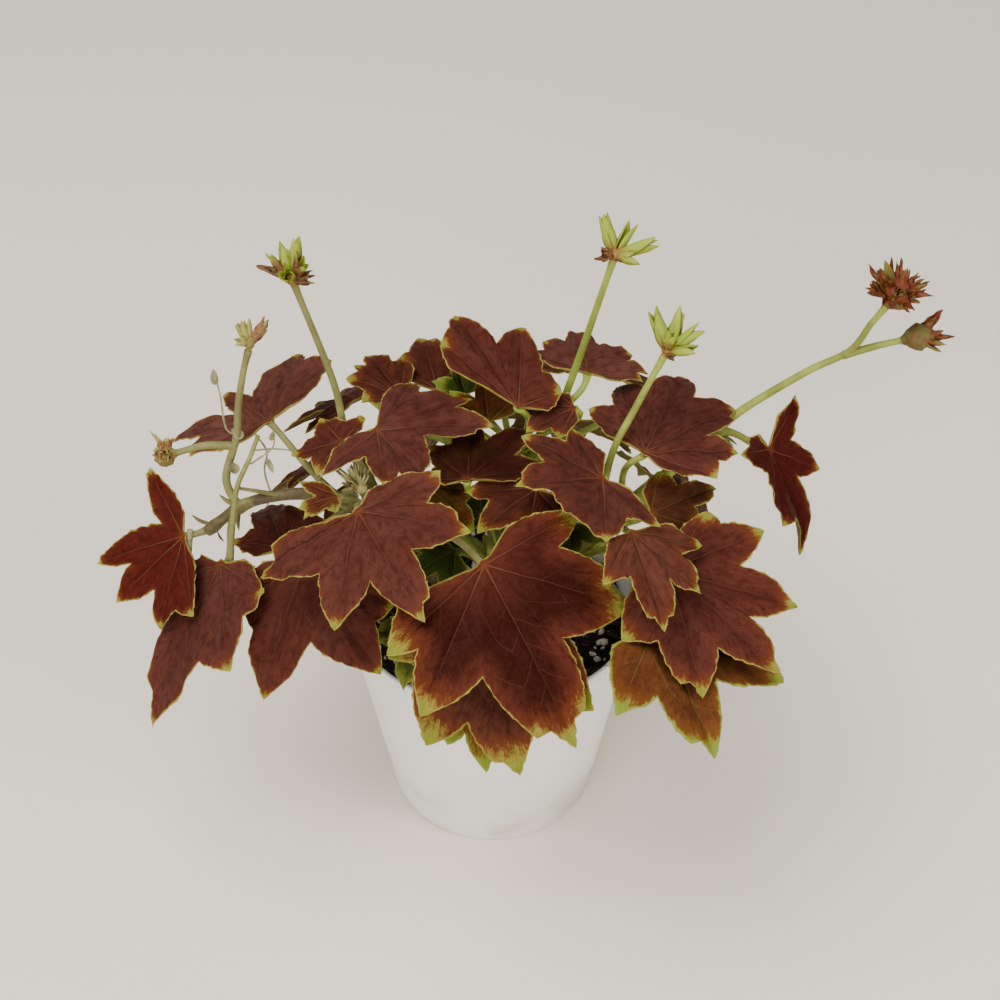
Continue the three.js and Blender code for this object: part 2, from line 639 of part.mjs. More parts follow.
// The petiole: leaves its stem along it and ends flat under the blade's hub.
function petioleGeometry(leaf, stem) {
  const { forward, up } = leafFrame(leaf);
  const start = stem.getPointAt(leaf.from);
  const end = vector(leaf.hub).addScaledVector(up, -BLADE.thickness - GAP);
  const reach = start.distanceTo(end);
  const bow = vector(leaf.bow ?? [0, 0, 0]);
  const first = start.clone().lerp(end, PETIOLE_RUN.toward).add(bow);
  first.addScaledVector(stem.getTangentAt(leaf.from), reach * PETIOLE_RUN.along);
  const second = end.clone().addScaledVector(up, -reach * PETIOLE_RUN.below).add(bow);
  second.addScaledVector(forward, -reach * PETIOLE_RUN.behind);
  return taperedTube(new THREE.CubicBezierCurve3(start, first, second, end), PETIOLE, up);
}

function smoothCurve(points) {
  return new THREE.CatmullRomCurve3(points, false, 'catmullrom', 0.5);
}

// A shoot: one stem fused with its petioles and its flower stalks.
function buildShoots() {
  const curves = {};
  const shoots = {};
  for (const [name, path] of Object.entries(STEMS)) {
    curves[name] = smoothCurve(path.map(vector));
    shoots[name] = toSolid(taperedTube(curves[name], STEM));
  }
  for (const leaf of LEAVES) {
    shoots[leaf.stem] = shoots[leaf.stem].add(toSolid(petioleGeometry(leaf, curves[leaf.stem])));
  }
  for (const { name, shoot, on, from, path } of STALKS) {
    curves[name] = smoothCurve([curves[on].getPointAt(from), ...path.map(vector)]);
    shoots[shoot] = shoots[shoot].add(toSolid(taperedTube(curves[name], STALK)));
  }
  for (const [name, solid] of Object.entries(shoots)) {
    addMesh(`shoot_${name}`, toGeometry(solid), 'shoot');
  }
  return curves;
}

// A sepal: a slim pointed blade, thickest a third of the way out, with its root at the origin.
function sepalGeometry(length, width) {
  const sepal = new THREE.CylinderGeometry(0, 1, 1, 4, 1).rotateX(Math.PI / 2).translate(0, 0, 0.5);
  sepal.rotateZ(Math.PI / 4);
  return sepal.scale(width / 2, Math.max(0.45, width / 4), length);
}

// A flower head: rings of sepals sunk in a receptacle that sits on the stalk's tip.
function buildHead(head, curve, i) {
  const axis = curve.getTangentAt(1);
  const turn = new THREE.Quaternion().setFromUnitVectors(new THREE.Vector3(0, 0, 1), axis);
  const [radius, half] = head.core;
  let solid = toSolid(new THREE.IcosahedronGeometry(1, 1).scale(radius, radius, half));
  head.rings.forEach(([count, tilt, length, width], ring) => {
    for (let k = 0; k < count; k += 1) {
      const number = ring * 10 + k;
      const around = ((k + 0.5 * ring + 0.4 * draw(i, number)) / count) * 2 * Math.PI;
      const lean = THREE.MathUtils.degToRad(tilt + 16 * (draw(i, number + 30) - 0.5));
      const sepal = sepalGeometry(length * (0.88 + 0.24 * draw(i, number + 60)), width);
      sepal.rotateY(lean).rotateZ(around);
      solid = solid.add(toSolid(sepal));
    }
  });
  const mesh = addMesh(`head_${head.on}`, toGeometry(solid), head.tone);
  mesh.quaternion.copy(turn);
  mesh.position.copy(curve.getPointAt(1)).addScaledVector(axis, half + GAP);
}

buildPot();
buildSoil();
LEAVES.forEach((leaf, i) => buildLeaf(leaf, i + 1));
const curves = buildShoots();
HEADS.forEach((head, i) => buildHead(head, curves[head.on], i + 1));

export default model;
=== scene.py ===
import bpy
import numpy as np
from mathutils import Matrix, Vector


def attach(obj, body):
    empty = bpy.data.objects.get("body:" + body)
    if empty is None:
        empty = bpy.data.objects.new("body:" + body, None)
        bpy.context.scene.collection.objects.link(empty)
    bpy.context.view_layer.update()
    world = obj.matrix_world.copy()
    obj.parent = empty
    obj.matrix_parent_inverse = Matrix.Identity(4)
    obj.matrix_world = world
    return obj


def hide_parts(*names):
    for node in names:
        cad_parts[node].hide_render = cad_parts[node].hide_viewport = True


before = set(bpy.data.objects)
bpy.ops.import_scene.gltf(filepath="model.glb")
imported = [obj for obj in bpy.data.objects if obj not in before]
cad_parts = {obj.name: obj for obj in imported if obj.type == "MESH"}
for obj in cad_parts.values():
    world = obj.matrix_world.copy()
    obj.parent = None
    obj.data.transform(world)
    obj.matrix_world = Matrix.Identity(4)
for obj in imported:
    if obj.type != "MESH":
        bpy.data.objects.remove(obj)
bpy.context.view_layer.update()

# A potted geranium with lobed maroon leaves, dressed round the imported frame: the same pot, mix,
# shoots, leaves and flower heads, with their fine shapes, hairs and finishes. Lengths on the plant
# are millimetres until a mesh is made. The floor, the lights and the materials' relief are metres.
MM = 0.001

# The camera stands in front of the plant and looks down on it. The plant stands on a plain pale
# floor under three soft studio lights: a large one above, a side one and a low one in front.
CAMERA = {"elevation": 43.0, "distance": 640.0, "target": (2.5, 20.0, 106.0), "lens": 72.0,
          "sensor": 36.0, "near": 0.01}
FLOOR = {"size": 3.2, "depth": 0.0002, "colour": (0.9, 0.81, 0.67), "roughness": 0.8,
         "gloss": 0.2}
LIGHTS = [
    {"name": "above", "place": (-0.35, -0.15, 1.15), "size": 0.9, "power": 14.5},
    {"name": "side", "place": (0.95, -0.55, 0.75), "size": 0.6, "power": 9.0},
    {"name": "front", "place": (-0.5, -1.1, 0.55), "size": 0.9, "power": 10.0},
]
WORLD = {"colour": (0.92, 0.95, 1.0), "strength": 0.42}


def aim(item, place, target):
    """Puts a camera or light at place, in metres, and points it at target."""
    item.location = place
    item.rotation_euler = (Vector(target) - Vector(place)).to_track_quat("-Z", "Y").to_euler()
    bpy.context.scene.collection.objects.link(item)


camera = bpy.data.objects.new("camera", bpy.data.cameras.new("camera"))
camera.data.lens = CAMERA["lens"]
camera.data.sensor_width = CAMERA["sensor"]
camera.data.clip_start = CAMERA["near"]
target = np.array(CAMERA["target"]) * MM
tilt = np.radians(CAMERA["elevation"])
away = np.array([0.0, -np.cos(tilt), np.sin(tilt)]) * CAMERA["distance"] * MM
aim(camera, target + away, target)
bpy.context.scene.camera = camera

for light in LIGHTS:
    lamp = bpy.data.lights.new(light["name"], "AREA")
    lamp.shape = "DISK"
    lamp.size = light["size"]
    lamp.energy = light["power"]
    aim(bpy.data.objects.new(light["name"], lamp), light["place"], target)

world = bpy.data.worlds.new("studio")
bpy.context.scene.world = world
world.use_nodes = True
sky = world.node_tree.nodes["Background"]
sky.inputs["Color"].default_value = (*WORLD["colour"], 1.0)
sky.inputs["Strength"].default_value = WORLD["strength"]


def make_object(name, points, blocks):
    """A smooth mesh object at the origin, from points in millimetres and blocks of faces, where
    every face of a block has the same number of corners."""
    blocks = [np.asarray(block) for block in blocks]
    number = np.concatenate([np.full(len(block), block.shape[1]) for block in blocks])
    corners = np.concatenate([block.ravel() for block in blocks])
    mesh = bpy.data.meshes.new(name)
    mesh.vertices.add(len(points))
    mesh.vertices.foreach_set("co", (np.asarray(points) * MM).ravel())
    mesh.loops.add(len(corners))
    mesh.loops.foreach_set("vertex_index", corners)
    mesh.polygons.add(len(number))
    mesh.polygons.foreach_set("loop_start", np.cumsum(number) - number)
    mesh.polygons.foreach_set("use_smooth", np.ones(len(number), dtype=bool))
    mesh.update(calc_edges=True)
    item = bpy.data.objects.new(name, mesh)
    bpy.context.scene.collection.objects.link(item)
    return item


def new_material(name):
    """A material, its nodes and its Principled shader."""
    material = bpy.data.materials.new(name)
    material.use_nodes = True
    return material, material.node_tree, material.node_tree.nodes["Principled BSDF"]


half = FLOOR["size"] / MM / 2
corner = np.array([[-half, -half, 0], [half, -half, 0], [half, half, 0], [-half, half, 0]])
floor = make_object("floor", corner - [0, 0, FLOOR["depth"] / MM], [[[0, 1, 2, 3]]])
floor_paint, _, shader = new_material("floor")
shader.inputs["Base Color"].default_value = (*FLOOR["colour"], 1.0)
shader.inputs["Roughness"].default_value = FLOOR["roughness"]
shader.inputs["Specular IOR Level"].default_value = FLOOR["gloss"]
floor.data.materials.append(floor_paint)

# The pot: thin moulded plastic, a tapered wall with a proud band under its rim and drain holes
# in its floor. It is turned as one closed profile with rounded edges, and the holes are cut.
POT = {"height": 84.0, "rim": 48.0, "band": 12.0, "step": 1.8, "ledge": 1.0, "draft": 0.6,
       "foot": 34.0, "wall": 1.5, "floor": 2.5, "edge": 0.7, "edge_rings": 4, "wall_rings": 7,
       "sides": 192, "sharp": 40.0}
DRAIN = {"count": 5, "radius": 4.0, "circle": 22.0, "sides": 40, "below": -5.0}
POT_COLOURS = {"clean": "#ece9e2", "dust": "#c9bfa9", "splash": "#8a7a62"}
POT_FINISH = {"cloud": 45.0, "speck": 900.0, "dusty_to": 0.03, "splashed": (0.062, 0.083),
              "roughness": (0.42, 0.58), "gloss": 0.4, "relief": 0.0002}


def paint(code):
    """A colour written as a web code, as linear red, green, blue and alpha."""
    share = np.array([int(code[k:k + 2], 16) for k in (1, 3, 5)]) / 255
    linear = np.where(share < 0.04045, share / 12.92, ((share + 0.055) / 1.055) ** 2.4)
    return (*linear.tolist(), 1.0)


def put(tree, kind, inputs=(), **settings):
    """Adds a shader node. An input that is a socket is linked, and any other value is set."""
    new = tree.nodes.new("ShaderNode" + kind)
    for key, value in settings.items():
        setattr(new, key, value)
    pairs = inputs.items() if isinstance(inputs, dict) else enumerate(inputs)
    for key, value in pairs:
        if isinstance(value, bpy.types.NodeSocket):
            tree.links.new(value, new.inputs[key])
        else:
            new.inputs[key].default_value = value
    return new


def calc(tree, operation, *values):
    """One step of arithmetic on sockets or numbers."""
    return put(tree, "Math", values, operation=operation).outputs[0]


def times(tree, *values):
    """The product of two or more sockets or numbers."""
    product = values[0]
    for value in values[1:]:
        product = calc(tree, "MULTIPLY", product, value)
    return product


def fade(tree, value, low, high, start=0.0, end=1.0):
    """start below low and end above high, with a smooth step between."""
    inputs = {"Value": value, "From Min": low, "From Max": high, "To Min": start, "To Max": end}
    return put(tree, "MapRange", inputs, interpolation_type="SMOOTHSTEP").outputs[0]


def mix(tree, factor, first, second):
    """first where factor is 0 and second where it is 1."""
    return put(tree, "Mix", {0: factor, 6: first, 7: second}, data_type="RGBA").outputs[2]


def noise(tree, vector, scale, detail=2.0):
    """Soft random values about 0.5 over a vector."""
    inputs = {"Vector": vector, "Scale": scale, "Detail": detail}
    return put(tree, "TexNoise", inputs).outputs[0]


def finish_material(tree, shader, colour, roughness, gloss, height, relief):
    """Feeds the shader: a colour, a roughness, a plain gloss, and a bumpy height whose full rise
    is relief in metres."""
    for socket, value in (("Base Color", colour), ("Roughness", roughness)):
        if isinstance(value, bpy.types.NodeSocket):
            tree.links.new(value, shader.inputs[socket])
        else:
            shader.inputs[socket].default_value = value
    shader.inputs["Specular IOR Level"].default_value = gloss
    bump = put(tree, "Bump", {"Height": height, "Distance": relief, "Strength": 1.0})
    tree.links.new(bump.outputs[0], shader.inputs["Normal"])


def circle(sides):
    """Points on the unit circle at even turns, as rows of the angle's cos and sin."""
    angle = np.arange(sides) * 2 * np.pi / sides
    return np.stack([np.cos(angle), np.sin(angle)], axis=-1)


def grid_faces(rows, columns):
    """Four-cornered faces of rows of points, each row closed on itself."""
    row, column = np.meshgrid(np.arange(rows - 1), np.arange(columns), indexing="ij")
    here = row * columns + column
    beside = row * columns + (column + 1) % columns
    return np.stack([here, beside, beside + columns, here + columns], axis=-1).reshape(-1, 4)


def pole_faces(pole, ring, flip=False):
    """Three-cornered faces from one point to a closed ring of points."""
    after = np.roll(ring, -1)
    first, second = (after, ring) if flip else (ring, after)
    return np.stack([np.full(len(ring), pole), first, second], axis=-1)


def closed_faces(rows, columns):
    """Faces of a closed skin: rows of points, then a pole that shuts the first row and another
    that shuts the last."""
    pole, ring = rows * columns, np.arange(columns)
    return [grid_faces(rows, columns), pole_faces(pole, ring, flip=True),
            pole_faces(pole + 1, pole - columns + ring)]


def turned(profile, sides):
    """A profile of (radius, height) points, first and last on the axis, carried round +Z:
    x is radius times cos of the angle and y is radius times sin of it."""
    profile = np.asarray(profile, dtype=float)
    body = profile[1:-1]
    points = np.zeros((len(body), sides, 3))
    points[..., :2] = body[:, None, :1] * circle(sides)
    points[..., 2] = body[:, None, 1]
    ends = [[0, 0, profile[0, 1]], [0, 0, profile[-1, 1]]]
    return np.concatenate([points.reshape(-1, 3), ends]), closed_faces(len(body), sides)


def rounded(profile, radius, steps):
    """The profile with each inner corner made a curve of a few points. It leaves the sides radius
    from the corner, or 2/5 of a shorter side, and is the quadratic curve that the corner pulls:
    (1 - t)^2 first + 2t(1 - t) corner + t^2 second."""
    profile = np.asarray(profile, dtype=float)
    t = np.linspace(0, 1, steps)[:, None]
    points = [profile[:1]]
    for before, corner, after in zip(profile[:-2], profile[1:-1], profile[2:]):
        reach = [min(radius, np.linalg.norm(side - corner) / 2.5) for side in (before, after)]
        first = corner + (before - corner) / np.linalg.norm(before - corner) * reach[0]
        second = corner + (after - corner) / np.linalg.norm(after - corner) * reach[1]
        points.append((1 - t) ** 2 * first + 2 * t * (1 - t) * corner + t**2 * second)
    return np.concatenate([*points, profile[-1:]])


def inner_radius(height):
    """The inside radius of the pot's wall at a height below its band: it widens evenly."""
    share = (height - POT["floor"]) / (POT["height"] - POT["band"] - POT["floor"])
    rise = POT["rim"] - POT["step"] - POT["draft"] - POT["foot"]
    return POT["foot"] - POT["wall"] + rise * share


def cut_round_holes(item, places, radius, low, high, sides):
    """Drills upright round holes of one radius through a mesh object and keeps the result."""
    drill_points, drill_faces, count = [], [], 0
    for x, y in places:
        points, faces = turned([[0, low], [radius, low], [radius, high], [0, high]], sides)
        drill_points.append(points + [x, y, 0])
        drill_faces += [face + count for face in faces]
        count += len(points)
    drill = make_object("drill", np.concatenate(drill_points), drill_faces)
    cut = item.modifiers.new("holes", "BOOLEAN")
    cut.object = drill
    cut.solver = "EXACT"
    bpy.context.view_layer.objects.active = item
    bpy.ops.object.modifier_apply(modifier=cut.name)
    bpy.data.objects.remove(drill, do_unlink=True)


band_foot = POT["height"] - POT["band"]
under_band = POT["rim"] - POT["step"] - POT["draft"]
pot_profile = rounded([
    [0, 0], [POT["foot"], 0], [under_band, band_foot],
    [POT["rim"] - POT["draft"], band_foot + POT["ledge"]],
    [POT["rim"], POT["height"]], [POT["rim"] - POT["wall"], POT["height"]],
    [inner_radius(band_foot), band_foot], [inner_radius(POT["floor"]), POT["floor"]],
    [0, POT["floor"]],
], POT["edge"], POT["edge_rings"])
wall_foot = POT["edge_rings"]
wall_ends = pot_profile[wall_foot:wall_foot + 2]
wall_shares = np.linspace(0, 1, POT["wall_rings"] + 2)[1:-1, None]
wall = wall_ends[0] + (wall_ends[1] - wall_ends[0]) * wall_shares
pot_profile = np.insert(pot_profile, wall_foot + 1, wall, 0)
points, faces = turned(pot_profile, POT["sides"])
pot = make_object("plant_pot", points, faces)
drains = DRAIN["circle"] * circle(DRAIN["count"])
cut_round_holes(pot, drains, DRAIN["radius"], DRAIN["below"], POT["floor"] * 2, DRAIN["sides"])
pot.data.set_sharp_from_angle(angle=np.radians(POT["sharp"]))

# Its finish: clean white, with dust near the foot, specks of splashed mix on the band, and
# handling scuffs.
pot_material, tree, shader = new_material("white moulded plastic")
place = put(tree, "TexCoord").outputs["Object"]
height_up = put(tree, "SeparateXYZ", [place]).outputs["Z"]
cloud = noise(tree, place, POT_FINISH["cloud"], 5.0)
specks = noise(tree, place, POT_FINISH["speck"], 3.0)
near_foot = fade(tree, height_up, 0.0, POT_FINISH["dusty_to"], 1.0, 0.12)
low_dust = times(tree, near_foot, fade(tree, cloud, 0.4, 0.7))
colour = mix(tree, low_dust, paint(POT_COLOURS["clean"]), paint(POT_COLOURS["dust"]))
on_band = fade(tree, height_up, *POT_FINISH["splashed"])
splash = times(tree, on_band, fade(tree, specks, 0.62, 0.72))
colour = mix(tree, splash, colour, paint(POT_COLOURS["splash"]))
scuffs = calc(tree, "ADD", times(tree, cloud, 0.7), times(tree, specks, 0.3))
rubbed = fade(tree, cloud, 0.3, 0.7, *POT_FINISH["roughness"])
finish_material(tree, shader, colour, rubbed, POT_FINISH["gloss"], scuffs, POT_FINISH["relief"])
pot.data.materials.append(pot_material)
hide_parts("pot")
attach(pot, "root")

# The potting mix: near-black peat with bark crumbs and pale perlite grains, pressed loosely
# round the stems a little below the rim. Its bed is one lumpy solid, and the grains lie on it.
SOIL = {"top": 76.0, "crown": 2.5, "lump": 0.9, "sunk": 0.6, "fit": 0.8, "clear": 0.3,
        "rings": 110, "sides": 260}
CRUMBS = [(4.5, 1.1), (2.1, 0.8), (1.0, 0.45)]
SOIL_COLOURS = {"peat": "#0d0a08", "crumb": "#2a1e17", "perlite": "#d8d2c4", "bark": "#3a281c"}
SOIL_FINISH = {"clod": 320.0, "fine": 1500.0, "roughness": (0.7, 0.95), "gloss": 0.25,
               "relief": 0.0012}
soil_floor = POT["floor"] + SOIL["clear"]
soil_edge = inner_radius(band_foot) - SOIL["fit"]


def lattice(x, y, seed):
    """Repeatable random values between 0 and 1 for whole-number places: what is left of a large
    sine of the place and the seed when its whole part is taken off."""
    value = np.sin(x * 127.1 + y * 311.7 + seed * 74.7) * 43758.5453
    return value - np.floor(value)


def value_noise(x, y, seed):
    """Soft noise: lattice values at the four whole-number corners, blended by u^2 (3 - 2u)."""
    left, low = np.floor(x), np.floor(y)
    u, v = x - left, y - low
    u, v = u * u * (3 - 2 * u), v * v * (3 - 2 * v)
    lower = lattice(left, low, seed) * (1 - u) + lattice(left + 1, low, seed) * u
    upper = lattice(left, low + 1, seed) * (1 - u) + lattice(left + 1, low + 1, seed) * u
    return lower * (1 - v) + upper * v


def soil_height(x, y):
    """The mix's top: a crown that falls off to the wall as the square of the way there, the
    frame's long lumps, and crumbs of three sizes, made by folding noise about its middle."""
    share = np.clip(1 - np.hypot(x, y) / soil_edge, 0, 1)
    lump = np.sin(x * 0.31 + 1) * np.cos(y * 0.27) + np.sin(x * 0.13 - y * 0.21)
    crumbs = 0
    for seed, (size, rise) in enumerate(CRUMBS, 1):
        crumbs = crumbs + rise * (0.5 - np.abs(value_noise(x / size, y / size, seed) - 0.5) * 2)
    height = SOIL["top"] - SOIL["crown"] * (1 - share) ** 2 + SOIL["lump"] * lump
    return height + crumbs - SOIL["sunk"]


ring_shares = np.linspace(1, 0, SOIL["rings"] + 1)[:-1]
soil_profile = [[0, soil_floor], [inner_radius(soil_floor) - SOIL["fit"], soil_floor]]
soil_profile += [[soil_edge, band_foot]]
soil_profile += [[soil_edge * share, SOIL["top"]] for share in ring_shares]
soil_profile += [[0, SOIL["top"]]]
points, faces = turned(soil_profile, SOIL["sides"])
is_top = points[:, 2] > band_foot + SOIL["clear"]
points[is_top, 2] = soil_height(points[is_top, 0], points[is_top, 1])
soil = make_object("potting_mix", points, faces)

soil_material, tree, shader = new_material("moist peat mix")
place = put(tree, "TexCoord").outputs["Object"]
clods = noise(tree, place, SOIL_FINISH["clod"], 6.0)
fine = noise(tree, place, SOIL_FINISH["fine"], 4.0)
peat, crumb = paint(SOIL_COLOURS["peat"]), paint(SOIL_COLOURS["crumb"])
colour = mix(tree, fade(tree, clods, 0.42, 0.72), peat, crumb)
lumps = calc(tree, "ADD", times(tree, clods, 0.6), times(tree, fine, 0.4))
damp = fade(tree, clods, 0.3, 0.7, *SOIL_FINISH["roughness"])
finish_material(tree, shader, colour, damp, SOIL_FINISH["gloss"], lumps, SOIL_FINISH["relief"])
soil.data.materials.append(soil_material)
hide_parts("soil")
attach(soil, "root")

# The grains on the mix: pale puffed perlite and flat bark crumbs, loose where they fell. Every
# grain of a kind is a knocked and stretched copy of one small ball, and the kind is one mesh.
GRAINS = {
    "perlite": {"count": 330, "size": (0.6, 1.9), "stretch": (1.0, 0.9, 0.8), "seed": 7,
                "roughness": 0.9},
    "bark": {"count": 420, "size": (0.7, 2.4), "stretch": (1.5, 0.5, 0.35), "seed": 4,
             "roughness": 0.85},
}
GRAIN_FINISH = {"pit": 1400.0, "gloss": 0.5, "relief": 0.0004}
GRAIN_LIE = {"from_wall": 2.0, "raised": 0.3}


def pebble():
    """Twelve points and twenty faces of a ball built on three crossed golden rectangles."""
    g = (1 + 5**0.5) / 2
    corners = [(-1, g, 0), (1, g, 0), (-1, -g, 0), (1, -g, 0), (0, -1, g), (0, 1, g),
               (0, -1, -g), (0, 1, -g), (g, 0, -1), (g, 0, 1), (-g, 0, -1), (-g, 0, 1)]
    sides = [(0, 11, 5), (0, 5, 1), (0, 1, 7), (0, 7, 10), (0, 10, 11), (1, 5, 9), (5, 11, 4),
             (11, 10, 2), (10, 7, 6), (7, 1, 8), (3, 9, 4), (3, 4, 2), (3, 2, 6), (3, 6, 8),
             (3, 8, 9), (4, 9, 5), (2, 4, 11), (6, 2, 10), (8, 6, 7), (9, 8, 1)]
    return np.array(corners) / np.hypot(1, g), np.array(sides)


def scatter(name, number, sizes, stretch, seed):
    """Copies of the pebble with knocked corners, spread evenly over the mix, where the distance
    from the middle is the root of a draw. Each is stretched along three axes, turned about the
    upright, and laid with its middle a little over the mix."""
    rng = np.random.default_rng(seed)
    ball, sides = pebble()
    far = (soil_edge - GRAIN_LIE["from_wall"]) * np.sqrt(rng.random(number))
    bearing = rng.random(number) * 2 * np.pi
    size = sizes[0] + (sizes[1] - sizes[0]) * rng.random(number) ** 2
    points = ball[None] * (0.72 + 0.5 * rng.random((number, len(ball), 1)))
    points = points * (np.array(stretch) * (0.75 + 0.5 * rng.random((number, 3))))[:, None, :]
    turn = rng.random(number)[:, None] * 2 * np.pi
    x = points[..., 0] * np.cos(turn) - points[..., 1] * np.sin(turn)
    y = points[..., 0] * np.sin(turn) + points[..., 1] * np.cos(turn)
    points = np.stack([x, y, points[..., 2]], axis=-1) * size[:, None, None]
    centre_x, centre_y = far * np.cos(bearing), far * np.sin(bearing)
    rise = soil_height(centre_x, centre_y) + size * stretch[2] * GRAIN_LIE["raised"]
    points += np.stack([centre_x, centre_y, rise], axis=-1)[:, None, :]
    faces = sides[None] + np.arange(number)[:, None, None] * len(ball)
    return make_object(name, points.reshape(-1, 3), [faces.reshape(-1, 3)])


for name, kind in GRAINS.items():
    grains = scatter(name + "_grains", kind["count"], kind["size"], kind["stretch"], kind["seed"])
    material, tree, shader = new_material(name + " grains")
    place = put(tree, "TexCoord").outputs["Object"]
    pits = noise(tree, place, GRAIN_FINISH["pit"], 3.0)
    clean = paint(SOIL_COLOURS[name])
    dim = mix(tree, 0.5, clean, crumb)
    colour = mix(tree, fade(tree, pits, 0.3, 0.62), dim, clean)
    finish_material(tree, shader, colour, kind["roughness"], GRAIN_FINISH["gloss"], pits,
                    GRAIN_FINISH["relief"])
    grains.data.materials.append(material)
    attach(grains, "root")

# The leaves: each is a thin hand-shaped blade with pointed lobes round the hub where its stalk
# joins. The live blade is a velvety maroon skin over green, with veins from the hub to each tip
# and a lime margin, and grows as one sheet: a grid that runs out over the top and back below.
BLADE = {"sinus": 0.03, "base": 0.05, "base_turn": 4.0, "body": 0.62, "rim": 0.2}
SIDE = {"swell": 0.07, "valley_at": 0.26, "dip": 0.035, "crest_at": 0.38, "out": 0.075,
        "lean": 0.05, "tooth_point": 0.6}
BULGE = {"near_tip": 0.03, "near_notch": 0.07}
SCALLOP = {"rise": 0.2, "beats": (1.7, 3.9), "second": 0.6, "least_side": 4.0}
BEND = {"droop": 0.14, "fold": 0.06, "curl": 0.2, "curl_from": 0.62, "wave": 0.03, "pleat": 0.07}
RELIEF = {"groove": 0.4, "groove_width": 0.9, "groove_full": 4.0, "quilt": 0.9,
          "quilt_size": 6.5, "quilt_full": 8.0, "ripple": 0.45, "ripples": (11, 23)}
LEAF_GRID = {"step": 1.1, "rows": 18, "under_rows": 9, "bunch": 1.25}
LIME_TIP = {"least_pointed": 0.2, "held_back": 0.12}
HIDDEN_LEAF = {"turn": 8.0, "lengths": (1, 0.88, 0.7), "shortest": 0.94, "vary": 0.12,
               "notch": 0.58}

